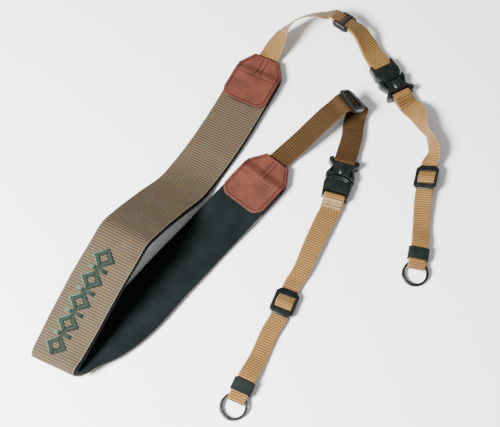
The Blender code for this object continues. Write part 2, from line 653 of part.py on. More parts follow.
def build_buckle(letter, matrix):
    """Fastened side-release buckle: a hollow socket and a prong that reaches round its mouth and into it."""
    half_thick = BUCKLE_THICK / 2
    arm = SLOT_WIDTH / 2 + ARM_THICK
    start = -BAR_SIDE / 2
    shoulder = SOCKET_LENGTH - MOUTH_ARC
    socket_half = [(start, arm), (shoulder * 0.3, arm + SOCKET_SWELL),
                   (shoulder * 0.65, BUCKLE_HALF_WIDTH - SOCKET_SWELL),
                   (shoulder - MOUTH_SHOULDER, BUCKLE_HALF_WIDTH)]
    socket_half += mouth_arc(0, (0, 12, 24, 36, 48, 60, 72, 84))
    socket = finish(prism(mirrored(socket_half), (-half_thick, half_thick), SOCKET_ROUNDING),
                    f"buckle_{letter}_socket", matrix, "black_plastic")
    deep = WRAP_REACH + SOCKET_FLOOR
    inside = half_thick - BUCKLE_WALL
    cavity = BUCKLE_HALF_WIDTH - CAVITY_SIDE
    past = 2 * MM
    cuts = bar_cuts(0, 1)
    cuts.append(box((deep, SOCKET_LENGTH + past), (-cavity, cavity), (-inside, inside)))
    combine(socket, cuts, "DIFFERENCE")
    end = BUCKLE_SPAN + BAR_SIDE / 2
    clear = 2 * GAP
    prong_half = mouth_arc(clear, (84, 72, 60, 48, ARM_TIP))
    arms_start = prong_half[-1][0]
    prong_half += [(arms_start - ARM_SWELL / 2, BUCKLE_HALF_WIDTH + ARM_SWELL / 2),
                   (arms_start + ARM_LENGTH, BUCKLE_HALF_WIDTH + ARM_SWELL),
                   (NECK_PLACE - 2 * NECK_RUN, BUCKLE_HALF_WIDTH - ARM_TAPER),
                   (NECK_PLACE - NECK_RUN, NECK_HALF + NECK_FLARE),
                   (NECK_PLACE, NECK_HALF)]
    for angle in (165, 125, 85, 45, 5):
        a = math.radians(angle)
        prong_half.append((end - LUG_RADIUS + LUG_RADIUS * math.cos(a),
                           LUG_HALF_WIDTH - LUG_RADIUS + LUG_RADIUS * math.sin(a)))
    prong = finish(prism(mirrored(prong_half), (-half_thick, half_thick), PRONG_ROUNDING),
                   f"buckle_{letter}_prong", matrix, "black_plastic")
    root = SOCKET_LENGTH + PRONG_ROOT
    tip = deep + SPRING_END
    stem = inside - clear
    arm_outer = cavity - clear
    arm_inner = arm_outer - SPRING_WIDTH
    joins = [box((tip, root), (-TONGUE_HALF, TONGUE_HALF), (-stem * 0.6, stem * 0.6))]
    for side in (-1, 1):
        spring = sorted((side * arm_inner, side * arm_outer))
        joins.append(box((tip, root), spring, (-stem * 0.8, stem * 0.8)))
    combine(prong, joins, "UNION")
    cuts = bar_cuts(BUCKLE_SPAN, -1)
    for side in (-1, 1):
        slit = sorted((side * ARM_SLIT[0], side * ARM_SLIT[1]))
        run = (SOCKET_LENGTH - SLIT_LEAD, NECK_PLACE - SLIT_END)
        cuts.append(box(run, slit, (-BUCKLE_THICK, BUCKLE_THICK)))
    combine(prong, cuts, "DIFFERENCE")


def rounded_outline(half_width, half_height, radius, count=3):
    """Points round a rectangle with rounded corners, anticlockwise."""
    outline = []
    for corner, (sx, sy) in enumerate(((1, 1), (-1, 1), (-1, -1), (1, -1))):
        for i in range(count + 1):
            angle = math.radians(90 * corner + 90 * i / count)
            outline.append((sx * (half_width - radius) + radius * math.cos(angle),
                            sy * (half_height - radius) + radius * math.sin(angle)))
    return outline


def build_keeper(name, route, span):
    """Rubber sleeve round both layers, taller at the ring's end."""
    outer = []
    inner = []
    half_width = LOWER_WIDTH / 2 + GAP
    for s, spread in zip(span, (LAYER, RING_WRAP)):
        point, _, cross, normal = route.frame(s)
        half_height = spread + WEB_THICK / 2 + GAP
        rim = rounded_outline(half_width + KEEPER_WALL, half_height + KEEPER_WALL, KEEPER_CORNER)
        hole = rounded_outline(half_width, half_height, KEEPER_HOLE_CORNER)
        outer.append([point + cross * x + normal * y for x, y in rim])
        inner.append([point + cross * x + normal * y for x, y in hole])
    loft(name, outer, "rubber", hollow=inner)


def build_ring(name, matrix):
    """Split ring as one turned band, eight-sided in section."""
    shape = bmesh.new()
    middle = RING_OUTER / 2 - RING_BAND / 2
    profile = []
    for i in range(8):
        angle = math.radians(22.5 + 45 * i)
        stretch = 1 / math.cos(math.radians(22.5))
        profile.append(shape.verts.new((middle + RING_BAND / 2 * stretch * math.cos(angle), 0,
                                        RING_HEIGHT / 2 * stretch * math.sin(angle))))
    edges = [shape.edges.new((profile[i], profile[(i + 1) % 8])) for i in range(8)]
    bmesh.ops.spin(shape, geom=profile + edges, cent=(0, 0, 0), axis=(0, 0, 1), angle=math.tau,
                   steps=RING_SIDES, use_merge=True)
    bmesh.ops.remove_doubles(shape, verts=shape.verts, dist=0.01 * MM)
    bmesh.ops.recalc_face_normals(shape, faces=shape.faces)
    finish(shape, name, matrix, "dark_metal")


def strap_routes(letter):
    """Upper and lower routes of a strap, joined to its buckle's two bars."""
    place = BUCKLES[letter]
    facing = UPPER_ROWS[letter][-1].side
    cross = place.heading - 90 * facing
    run = BAR_RUN + STRAIGHT_SPARE
    last = Row("bar", place.x, place.y, "buckle", 0, cross, 0, 0, run, WRAP_REACH, facing)
    upper = Route(UPPER_ROWS[letter] + [last], STRAP_RISE)
    far = np.array([place.x, place.y]) + (plan_vector(place.heading) * BUCKLE_SPAN / SPREAD)[:2]
    cross = LOWER_ROWS[letter][0].cross + wrapped(place.heading - 90 - LOWER_ROWS[letter][0].cross)
    first = Row("bar", *far, "buckle", 0, cross, 0, 0, WRAP_REACH, BAR_RUN, 1)
    lower = Route([first] + LOWER_ROWS[letter], STRAP_RISE)
    return upper, lower


def wrapped(angle):
    """An angle brought between -180 and 180 degrees."""
    return (angle + 180) % 360 - 180


def stand_on_table():
    """Moves everything so that the box of the visible pieces is centred over the origin, on z = 0."""
    bpy.context.view_layer.update()
    graph = bpy.context.evaluated_depsgraph_get()
    corners = []
    for obj in bpy.data.objects:
        if obj.hide_render:
            continue
        evaluated = obj.evaluated_get(graph)
        corners += [obj.matrix_world @ vert.co for vert in evaluated.data.vertices]
    places = np.array([tuple(corner) for corner in corners])
    low = places.min(axis=0)
    high = places.max(axis=0)
    shift = Matrix.Translation((-(low[0] + high[0]) / 2, -(low[1] + high[1]) / 2, -low[2]))
    for obj in bpy.data.objects:
        obj.matrix_world = shift @ obj.matrix_world


def main():
    clear_scene()
    band = Route(BAND_ROWS, BAND_RISE)
    build_band(band)
    build_leather(band, "a", True)
    build_leather(band, "b", False)
    for letter in ("a", "b"):
        upper, lower = strap_routes(letter)
        build_upper(letter, upper)
        build_buckle(letter, buckle_matrix(BUCKLES[letter], letter == "b"))
        build_lower(letter, lower)
    stand_on_table()


main()
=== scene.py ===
import math
from collections import namedtuple

import bmesh
import bpy
import numpy as np
from mathutils import Matrix, Vector


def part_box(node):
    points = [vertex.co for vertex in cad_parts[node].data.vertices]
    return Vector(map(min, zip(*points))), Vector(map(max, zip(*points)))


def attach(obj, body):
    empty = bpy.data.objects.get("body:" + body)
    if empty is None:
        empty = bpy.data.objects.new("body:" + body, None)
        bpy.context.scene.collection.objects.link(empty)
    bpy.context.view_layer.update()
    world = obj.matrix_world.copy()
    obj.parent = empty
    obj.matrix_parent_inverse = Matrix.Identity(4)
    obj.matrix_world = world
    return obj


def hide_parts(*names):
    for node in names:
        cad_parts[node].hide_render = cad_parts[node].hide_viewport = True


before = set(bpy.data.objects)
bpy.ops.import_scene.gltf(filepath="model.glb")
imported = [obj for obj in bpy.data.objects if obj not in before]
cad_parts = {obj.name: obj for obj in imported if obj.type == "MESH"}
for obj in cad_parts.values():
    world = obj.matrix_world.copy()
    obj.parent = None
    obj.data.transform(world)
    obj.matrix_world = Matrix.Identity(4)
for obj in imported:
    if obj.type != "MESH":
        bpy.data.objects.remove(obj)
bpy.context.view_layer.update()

MM = 0.001
TOUCHING = 1e-7              # points nearer than this are one
BODY = "root"

# The lay of the strap, as in the solid model: route positions are shares of SPREAD
SPREAD = 300 * MM
GAP = 0.3 * MM

# Neck band and leather
BAND_WIDTH = 37.5 * MM
CLOTH_THICK = 1.4 * MM
BACKING_THICK = 3.4 * MM
BAND_RISE = 41 * MM
LEATHER_THICK = 1.4 * MM
LEATHER_LENGTH = 47 * MM
LEATHER_NECK = 21.5 * MM
SHOULDER_LENGTH = 12.5 * MM
LEATHER_CORNER = 9 * MM
BAND_INSET = 20 * MM
WEB_INSET = 11.5 * MM

# Webbing
WEB_THICK = 1.1 * MM
UPPER_WIDTH = 16.5 * MM
LOOP_WIDTH = 16 * MM
LOWER_WIDTH = 12.8 * MM
LOOP_TAIL = 11 * MM
SLIDER_TAIL = 4 * MM
PARTING_RUN = 6 * MM
SEWN_LEAD = 8 * MM
STRAP_RISE = 18 * MM

# Hardware
UPPER_SLIDER_LENGTH = 15 * MM
LOWER_SLIDER_LENGTH = 20.5 * MM
UPPER_END_BAR = 3.4 * MM
LOWER_END_BAR = 5 * MM
SLIDER_BAR_THICK = 1.3 * MM
SLIDER_HUMP = 1.2 * MM
SLIDER_STRAIGHT = 1.5 * MM
BUCKLE_SPAN = 31 * MM
BUCKLE_THICK = 7.6 * MM
BAR_SIDE = 2.4 * MM
SOCKET_LENGTH = 17.5 * MM
MOUTH_ARC = 6.5 * MM
MOUTH_SHOULDER = 0.5 * MM
BUCKLE_HALF_WIDTH = 11 * MM
KEEPER_LENGTH = 9.2 * MM
KEEPER_WALL = 0.9 * MM
KEEPER_STAND = 0.4 * MM
RING_OUTER = 19.2 * MM
RING_BAND = 1.7 * MM
RING_HEIGHT = 1.8 * MM

# Straight stretches of a route
LEATHER_LEAD = 2 * MM
BAR_RUN = 9 * MM
LOOP_CLOSING = 0.7
STRAIGHT_SPARE = 1 * MM

# Sizes worked out from those above
LAYER = (WEB_THICK + GAP) / 2
WRAP_RADIUS = math.hypot(BAR_SIDE, BAR_SIDE) / 2 + GAP + WEB_THICK / 2
WRAP_REACH = WRAP_RADIUS + WEB_THICK / 2 + GAP
RING_WRAP = RING_HEIGHT / 2 + GAP + WEB_THICK / 2
RING_INNER_RADIUS = RING_OUTER / 2 - RING_BAND
RING_CLOTH = math.sqrt(RING_INNER_RADIUS ** 2 - (LOWER_WIDTH / 2) ** 2) + GAP
KEEPER_END = RING_OUTER / 2 + GAP + KEEPER_STAND
LEATHER_MID = LEATHER_THICK + GAP + (CLOTH_THICK + GAP + BACKING_THICK) / 2
CLOTH_LEVEL = (GAP + CLOTH_THICK) / 2
BACKING_LEVEL = -(GAP + BACKING_THICK) / 2

REST = {
    "leather_top": LEATHER_THICK + GAP + BACKING_THICK + GAP / 2,
    "top": BACKING_THICK + GAP / 2,
    "under": CLOTH_THICK + GAP / 2,
    "leather_under": LEATHER_THICK + GAP + CLOTH_THICK + GAP / 2,
    "leather_web": LEATHER_MID,
    "web": LAYER + WEB_THICK / 2,
    "buckle": BUCKLE_THICK / 2,
    "slider": LAYER - SLIDER_HUMP + WEB_THICK / 2 + GAP + SLIDER_BAR_THICK,
    "ring": RING_WRAP + WEB_THICK / 2,
}

# Route rows: x and y are shares of SPREAD, lift is a share of the route's own rise above its rest.
# cross is the plan angle of the ribbon's right-hand side, roll lifts that side, pitch tips the line.
# before and after are straight lengths on each side of the row's point, side is 1 face up, -1 face down.
Row = namedtuple("Row", "name x y rest lift cross roll pitch before after side", defaults=(0, 0, 0, 0, 1))

LEATHER_RUN = LEATHER_LENGTH + LEATHER_LEAD
LEATHER_A = (0.047, 0.449)
LEATHER_B = (0.070, 0.137)
BAND_ROWS = [
    Row("leather_a", *LEATHER_A, "leather_top", 0, 153.3, 0, 0, 0, LEATHER_RUN, 1),
    Row("", -0.085, 0.196, "top", 0.02, 152.5),
    Row("valley", -0.148, 0.097, "top", 0.03, 152),
    Row("", -0.166, 0.066, "top", 0.11, 152),
    Row("", -0.219, -0.007, "top", 0.44, 152),
    Row("", -0.269, -0.087, "top", 0.86, 152),
    Row("crest", -0.290, -0.122, "top", 1.00, 152),
    Row("", -0.309, -0.158, "top", 0.97, 153),
    Row("front", -0.345, -0.216, "top", 0.81, 153),
    Row("", -0.402, -0.309, "top", 0.47, 153, -1),
    Row("", -0.435, -0.366, "top", 0.29, 153, -7),
    Row("", -0.449, -0.391, "under", 0.27, 153, -13),
    Row("fold", -0.4515, -0.3955, "under", 0.18, 153, -14),
    Row("", -0.4420, -0.395, "under", 0.12, 152, -12, 0, 0, 0, -1),
    Row("", -0.4035, -0.369, "under", 0.08, 148, -7, 0, 0, 0, -1),
    Row("", -0.360, -0.3415, "under", 0.035, 143, -3, 0, 0, 0, -1),
    Row("", -0.3215, -0.313, "under", 0.016, 141, -1, 0, 0, 0, -1),
    Row("", -0.179, -0.154, "under", 0, 140, 0, 0, 0, 0, -1),
    Row("", -0.075, -0.033, "under", 0, 140, 0, 0, 0, 0, -1),
    Row("leather_b", *LEATHER_B, "leather_under", 0, 140, 0, 0, LEATHER_RUN, 0, -1),
]

UPPER_SLIDER_FACES = {"a": -1, "b": 1}    # -1 for a slider that lies on its face

# Buckle places: shares of SPREAD for the upper bar, and the heading from upper to lower webbing
Buckle = namedtuple("Buckle", "x y heading")
BUCKLES = {"a": Buckle(0.3495, 0.4305, -62), "b": Buckle(0.241, 0.138, -107)}

HALF_UPPER_SLIDER = UPPER_SLIDER_LENGTH / 2 + SLIDER_STRAIGHT
HALF_LOWER_SLIDER = LOWER_SLIDER_LENGTH / 2 + SLIDER_STRAIGHT
KEEPER_RUN = KEEPER_END + KEEPER_LENGTH + STRAIGHT_SPARE
UPPER_ROWS = {
    "a": [
        Row("leather", *LEATHER_A, "leather_web", 0, -26.7, 0, 0, WEB_INSET, LEATHER_LEAD, 1),
        Row("", 0.075, 0.494, "web", 0.53, -32, 30),
        Row("", 0.091, 0.518, "web", 0.78, -41, 52),
        Row("", 0.115, 0.540, "web", 0.90, -53, 62),
        Row("", 0.145, 0.557, "web", 0.88, -66, 54),
        Row("", 0.179, 0.564, "web", 0.88, -84, 42),
        Row("", 0.209, 0.561, "web", 0.90, -103, 30),
        Row("slider", 0.2545, 0.541, "web", 0.92, -126, 24, -6, HALF_UPPER_SLIDER, HALF_UPPER_SLIDER, 1),
    ],
    "b": [
        Row("leather", *LEATHER_B, "leather_web", 0, -40, 0, 0, WEB_INSET, LEATHER_LEAD, 1),
        Row("", 0.128, 0.189, "web", 0.40, -44),
        Row("", 0.169, 0.225, "web", 0.68, -48),
        Row("", 0.202, 0.252, "web", 0.92, -51),
        Row("", 0.224, 0.268, "web", 1.05, -54),
        Row("slider", 0.259, 0.289, "web", 0.93, -56, 0, -36, HALF_UPPER_SLIDER, HALF_UPPER_SLIDER, 1),
        Row("", 0.2870, 0.3045, "web", 0.32, -54),
        Row("", 0.2790, 0.2850, "web", 0.12, -47, 0, 0, 0, 0, -1),
        Row("", 0.269, 0.250, "web", 0.14, -37, 0, 0, 0, 0, -1),
        Row("", 0.262, 0.207, "web", 0.15, -25, 0, 0, 0, 0, -1),
    ],
}
LOWER_ROWS = {
    "a": [
        Row("", 0.4355, 0.279, "web", 0.27, 204, -38),
        Row("", 0.4460, 0.246, "web", 0.38, 198, -68),
        Row("", 0.4550, 0.217, "web", 0.44, 197, -92),
        Row("", 0.4635, 0.192, "web", 0.43, 192, -78),
        Row("", 0.4690, 0.165, "web", 0.36, 182, -58),
        Row("slider", 0.4460, 0.090, "slider", 0.16, 165, -20, 0, HALF_LOWER_SLIDER, HALF_LOWER_SLIDER, 1),
        Row("", 0.430, 0.020, "web", 0.14, 170, -12),
        Row("", 0.423, -0.040, "web", 0.06, 170, -4),
        Row("ring", 0.3995, -0.1633, "ring", 0, 168, 0, -7, KEEPER_RUN, RING_OUTER, 1),
    ],
    "b": [
        Row("", 0.184, -0.027, "web", 0.16, 158),
        Row("", 0.151, -0.097, "web", 0.20, 156),
        Row("", 0.1255, -0.155, "web", 0.14, 157),
        Row("slider", 0.082, -0.240, "slider", 0.03, 157.5, 0, 0, HALF_LOWER_SLIDER, HALF_LOWER_SLIDER, 1),
        Row("", 0.049, -0.307, "web", 0.03, 156),
        Row("", 0.019, -0.374, "web", 0.02, 155.5),
        Row("ring", -0.0375, -0.4877, "ring", 0, 155, 0, -7, KEEPER_RUN, RING_OUTER, 1),
    ],
}

# Surface detail, from the photograph and from usual webbing, leather and sewing
BAND_RIB = 2.05 * MM         # cross ribs of the band
WEB_RIB = 1.85 * MM          # cross ribs of the webbing
BAND_RELIEF = 0.32 * MM      # depth between two ribs
WEB_RELIEF = 0.28 * MM
BAND_WARP = 1.5 * MM         # one pair of warp threads, over and under
WEB_WARP = 2.3 * MM
THREAD_SHARE = 0.21          # how far the warp threads, rather than the ribs, make the pattern
ROWS_PER_RIB = 6
BAND_TRIM = 0.8 * MM         # the cloth is this much narrower than its solid
PAD_OVERHANG = 0.9 * MM      # and the soft backing this much wider
PAD_WAVER = 0.15 * MM        # unevenness of the backing's width
PAD_WAVE = 7 * MM
PAD_CORNER = 1.3 * MM
BULGE = 1.5 * MM             # the webbing's round rise inside a slider
STITCH_PITCH = 2.7 * MM
STITCH_LENGTH = 2.0 * MM
THREAD = 0.70 * MM           # sewing thread's thickness
SEAM_INSET = 2.3 * MM        # leather stitching, from the edge
CROSS_SEAM = BAND_INSET + 1 * MM
PAIR_SEAM = 1.9 * MM         # each of the two seams down from the neck, from the middle
SEAM_GROOVE = 0.16 * MM      # how deep a seam pulls the leather in
SEAM_REACH = 0.45 * MM       # half width of that groove
RIM_DROP = 0.22 * MM         # how far the leather's cut edge is pressed down
RIM_REACH = 0.7 * MM
TACK_LENGTH = 2.2 * MM       # one stitch of a bar tack
TACK_THREAD = 0.5 * MM
TACK_SPAN = (2.0 * MM, 7.4 * MM)    # from the sewn tail's end to the first and last row
RIM_ROUNDING = 0.35 * MM
KEEPER_ROUNDING = 0.3 * MM
KEEPER_SQUARENESS = 0.34     # power that turns a sleeve's ellipse into a rounded rectangle
SLIDER_ROUNDING = 0.22 * MM
BUCKLE_ROUNDING = 0.18 * MM
SOCKET_RIBS = ((1.7 * MM, 58), (3.3 * MM, 62))    # inset from the mouth, and reach in degrees
SOCKET_RIB = (1.1 * MM, 1.0 * MM)                 # width and height
BOSS_SIZE = (4.8 * MM, 3.0 * MM, 1.9 * MM)        # half sizes of the prong's oval boss
BOSS_PLACE = 22.7 * MM       # the boss, from the socket's bar
RING_START = 2.4             # where the ring's wire starts, in radians
RING_SPRING = (-0.7 * MM, 0.35 * MM, 0)
RING_WIRE = 0.47             # height of one coil, as a share of the ring's

# Embroidery: satin threads across the band
SATIN_PITCH = 0.45 * MM      # threads side by side
SATIN_THREAD = 0.66 * MM
THREAD_SHORTEST = 0.5 * MM
DIAMONDS = 5
DIAMOND_PITCH = 17 * MM
DIAMOND_REACH = 7.8 * MM     # half length along the band
DIAMOND_HALF = 9 * MM        # half width across it
OPENING_REACH = 3.2 * MM     # the same of the open middle
OPENING_HALF = 3.4 * MM
# The sage thread on the outer part of each right-hand limb and on each bar's right end is a painted
# highlight
DARK_SHARE = 0.7             # share of a right-hand limb in the dark thread
BAR_REACH = 1.2 * MM
BAR_ENDS = (-7.5 * MM, 3 * MM, 7 * MM)    # start, change to the light thread and end
PATTERN_START = -12.5 * MM   # from the band's front mark
PATTERN_ASIDE = 3.2 * MM

# Camera, fitted to the photograph: focal length in pixels of its 500 pixel width
PHOTO_WIDTH = 500
FOCAL = 950
ELEVATION = 65
DISTANCE = 712 * MM

# Soft key light from the left, in metres and watts, in a white room
KEY_PLACE = (-0.62, -0.42, 0.76)
KEY_SIZE = 0.3
KEY_POWER = 66
ROOM_LIGHT = 0.5


def unit(vector):
    return vector / np.linalg.norm(vector)


def plan_vector(angle, tilt=0.0):
    """Unit vector at a plan angle, tilted up by tilt; both in degrees."""
    a = math.radians(angle)
    b = math.radians(tilt)
    return np.array([math.cos(a) * math.cos(b), math.sin(a) * math.cos(b), math.sin(b)])


class Route:
    """A line in space with the direction of a ribbon's right-hand side along it, as in the solid model."""

    def __init__(self, rows, rise, moved=(0, 0, 0)):
        knots = []
        marks = {}
        for row in rows:
            point = np.array([row.x * SPREAD, row.y * SPREAD, REST[row.rest] + row.lift * rise])
            along = plan_vector(row.cross + 90 * row.side, row.pitch)
            turned = (row.cross, row.roll)
            if row.before or row.after:
                marks[row.name] = (len(knots), row.before)
                knots.append((point - along * row.before, along, turned))
                knots.append((point + along * row.after, along, turned))
            else:
                marks[row.name] = (len(knots), 0.0)
                knots.append((point, None, turned))
        self.build(knots)
        self.points = self.points + np.array(moved)
        self.marks = {name: self.knot_at[index] + ahead for name, (index, ahead) in marks.items()}

    def build(self, knots):
        """Samples a smooth curve through the knots about every millimetre."""
        places = [knot[0] for knot in knots]
        tangents = []
        for i, (place, fixed, _) in enumerate(knots):
            if fixed is not None:
                tangents.append(fixed)
                continue
            back = place - places[max(i - 1, 0)]
            ahead = places[min(i + 1, len(places) - 1)] - place
            weight = np.linalg.norm(ahead) / (np.linalg.norm(ahead) + np.linalg.norm(back))
            blend = weight * back / max(np.linalg.norm(back), MM)
            blend = blend + (1 - weight) * ahead / max(np.linalg.norm(ahead), MM)
            tangents.append(unit(blend))
        points = [places[0]]
        turned = [knots[0][2]]
        knot_index = [0]
        for i in range(len(knots) - 1):
            start = places[i]
            end = places[i + 1]
            length = np.linalg.norm(end - start)
            count = max(2, math.ceil(length / MM))
            for j in range(1, count + 1):
                t = j / count
                point = (2 * t ** 3 - 3 * t ** 2 + 1) * start + (3 * t ** 2 - 2 * t ** 3) * end
                point = point + (t ** 3 - 2 * t ** 2 + t) * length * tangents[i]
                point = point + (t ** 3 - t ** 2) * length * tangents[i + 1]
                points.append(point)
                first = np.array(knots[i][2], float)
                last = np.array(knots[i + 1][2], float)
                turned.append(first + (last - first) * t)
            knot_index.append(len(points) - 1)
        self.points = np.array(points)
        steps = np.linalg.norm(np.diff(self.points, axis=0), axis=1)
        self.distance = np.concatenate([[0.0], np.cumsum(steps)])
        self.turned = np.array(turned)
        tangent = np.gradient(self.points, self.distance, axis=0)
        self.tangent = tangent / np.linalg.norm(tangent, axis=1)[:, None]
        self.knot_at = [self.distance[i] for i in knot_index]
        self.length = self.distance[-1]

    def read(self, values, s):
        return np.array([np.interp(s, self.distance, column) for column in values.T])

    def frame(self, s):
        """Point, tangent, right-hand side and normal at a distance along the route."""
        point = self.read(self.points, s)
        along = unit(self.read(self.tangent, s))
        angle, roll = self.read(self.turned, s)
        cross = plan_vector(angle, roll)
        cross = unit(cross - along * np.dot(cross, along))
        return point, along, cross, np.cross(cross, along)

    def matrix(self, s):
        """Placement with X along the route, Y to its left and Z along its normal."""
        point, along, cross, normal = self.frame(s)
        rows = np.column_stack([along, -cross, normal, point])
        return Matrix([*rows.tolist(), (0, 0, 0, 1)])


def wrapped(angle):
    """An angle brought between -180 and 180 degrees."""
    return (angle + 180) % 360 - 180


def strap_routes(letter, moved=(0, 0, 0)):
    """Upper and lower routes of a strap, joined to its buckle's two bars."""
    place = BUCKLES[letter]
    facing = UPPER_ROWS[letter][-1].side
    cross = place.heading - 90 * facing
    run = BAR_RUN + STRAIGHT_SPARE
    last = Row("bar", place.x, place.y, "buckle", 0, cross, 0, 0, run, WRAP_REACH, facing)
    upper = Route(UPPER_ROWS[letter] + [last], STRAP_RISE, moved)
    far = np.array([place.x, place.y]) + (plan_vector(place.heading) * BUCKLE_SPAN / SPREAD)[:2]
    cross = LOWER_ROWS[letter][0].cross + wrapped(place.heading - 90 - LOWER_ROWS[letter][0].cross)
    first = Row("bar", *far, "buckle", 0, cross, 0, 0, WRAP_REACH, BAR_RUN, 1)
    lower = Route([first] + LOWER_ROWS[letter], STRAP_RISE, moved)
    return upper, lower


def frame_shift():
    """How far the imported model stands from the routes' own origin: ring A is at the same place in both."""
    low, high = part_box("ring_a")
    _, lower = strap_routes("a")
    return (np.array(low) + np.array(high)) / 2 - lower.frame(lower.marks["ring"])[0]


SHIFT = frame_shift()


def layer(route, start, end, heights):
    """Stations along a route every half millimetre, at heights over it given as (distance, height)."""
    keys = sorted(heights)
    count = max(2, math.ceil(abs(end - start) / (0.5 * MM)))
    strip = []
    for s in np.linspace(start, end, count):
        point, _, cross, normal = route.frame(s)
        height = np.interp(s, [key[0] for key in keys], [key[1] for key in keys])
        strip.append((point + normal * height, cross))
    return strip


def turn(route, s, radius, side, way, count=16):
    """Half a turn about the route's point at s, from its side (1 over, -1 under) to the other."""
    point, along, cross, normal = route.frame(s)
    strip = []
    for i in range(1, count):
        angle = math.pi * i / count
        out = math.cos(angle) * side * normal + math.sin(angle) * way * along
        strip.append((point + radius * out, cross))
    return strip


def weave(s, window, layer_height, face=1):
    """Heights of a layer at a slider: a round bulge over its middle bar, or under it for face -1."""
    heights = []
    for share in np.linspace(-1, 1, 17):
        bulge = face * BULGE * (1 + math.cos(math.pi * share)) / 2
        heights.append((s + share * window / 2, layer_height + bulge))
    return heights


def mouth_arc(clearance, angles):
    """Points (x, half width) of a socket's bulging mouth, moved out by a clearance; angles in degrees."""
    reach = MOUTH_ARC + clearance
    half = BUCKLE_HALF_WIDTH - MOUTH_SHOULDER + clearance
    start = SOCKET_LENGTH - MOUTH_ARC
    return [(start + reach * math.sin(math.radians(a)), half * math.cos(math.radians(a))) for a in angles]


def buckle_matrix(place, flip):
    """Placement of a buckle from its socket's bar, with X towards the other half."""
    heading = place.heading + (180 if flip else 0)
    along = plan_vector(heading)
    origin = np.array([place.x * SPREAD, place.y * SPREAD, REST["buckle"]]) + SHIFT
    if flip:
        origin = origin - along * BUCKLE_SPAN
    rows = np.column_stack([along, plan_vector(heading + 90), [0, 0, 1], origin])
    return Matrix([*rows.tolist(), (0, 0, 0, 1)])


class Strip:
    """Evenly spaced stations along the middle of a cloth strip, eased so that no station is a corner."""

    def __init__(self, stations, step, ease=0.8 * MM):
        places = np.array([point for point, _ in stations])
        sides = np.array([cross for _, cross in stations])
        moves = np.linalg.norm(np.diff(places, axis=0), axis=1)
        kept = np.concatenate([[True], moves > TOUCHING])
        places = places[kept]
        sides = sides[kept]
        run = np.concatenate([[0.0], np.cumsum(np.linalg.norm(np.diff(places, axis=0), axis=1))])
        self.distance = np.linspace(0, run[-1], max(8, round(run[-1] / step)))
        step = self.distance[1]
        reach = max(1, round(3 * ease / step))
        bell = np.exp(-0.5 * (np.arange(-reach, reach + 1) * step / ease) ** 2)
        bell = bell / bell.sum()
        eased = []
        for column in np.column_stack([places, sides]).T:
            values = np.interp(self.distance, run, column)
            before = 2 * values[0] - values[reach:0:-1]
            after = 2 * values[-1] - values[-2:-reach - 2:-1]
            eased.append(np.convolve(np.concatenate([before, values, after]), bell, "valid"))
        eased = np.array(eased).T
        self.points = eased[:, :3]
        self.cross = eased[:, 3:] / np.linalg.norm(eased[:, 3:], axis=1)[:, None]
        self.along = np.gradient(self.points, self.distance, axis=0)
        self.along /= np.linalg.norm(self.along, axis=1)[:, None]
        normal = np.cross(self.cross, self.along)
        self.normal = normal / np.linalg.norm(normal, axis=1)[:, None]
        self.length = self.distance[-1]

    def frame(self, s):
        """Point, tangent, right-hand side and normal at a distance along the strip."""
        found = []
        for values in (self.points, self.along, self.cross, self.normal):
            found.append(np.array([np.interp(s, self.distance, column) for column in values.T]))
        return found


def colour(text):
    """An sRGB hex value as linear values."""
    parts = [int(text[i:i + 2], 16) / 255 for i in (0, 2, 4)]
    return (*[c / 12.92 if c <= 0.04045 else ((c + 0.055) / 1.055) ** 2.4 for c in parts], 1)


def node(tree, kind, inputs, output=0, stops=(), **settings):
    """Adds a node and gives one of its outputs.

    Inputs are values or sockets, settings are properties, stops are a ramp's places and hex values.
    """
    made = tree.nodes.new("ShaderNode" + kind)
    for key, value in settings.items():
        setattr(made, key, value)
    for key, value in inputs.items():
        if isinstance(value, bpy.types.NodeSocket):
            tree.links.new(value, made.inputs[key])
        else:
            made.inputs[key].default_value = value
    if stops:
        elements = made.color_ramp.elements
        while len(elements) < len(stops):
            elements.new(0.5)
        for element, (place, text) in zip(elements, stops):
            element.position = place
            element.color = colour(text)
    return made.outputs[output]


def surface(name, **values):
    """A new material, its node tree and its Principled BSDF with the given socket values."""
    made = bpy.data.materials.new(name)
    made.use_nodes = True
    shader = made.node_tree.nodes["Principled BSDF"]
    for key, value in values.items():
        shader.inputs[key.replace("_", " ")].default_value = value
    return made, made.node_tree, shader


def dress(shader, **sockets):
    """Links sockets to the shader's inputs of the same names."""
    for key, socket in sockets.items():
        shader.id_data.links.new(socket, shader.inputs[key.replace("_", " ")])


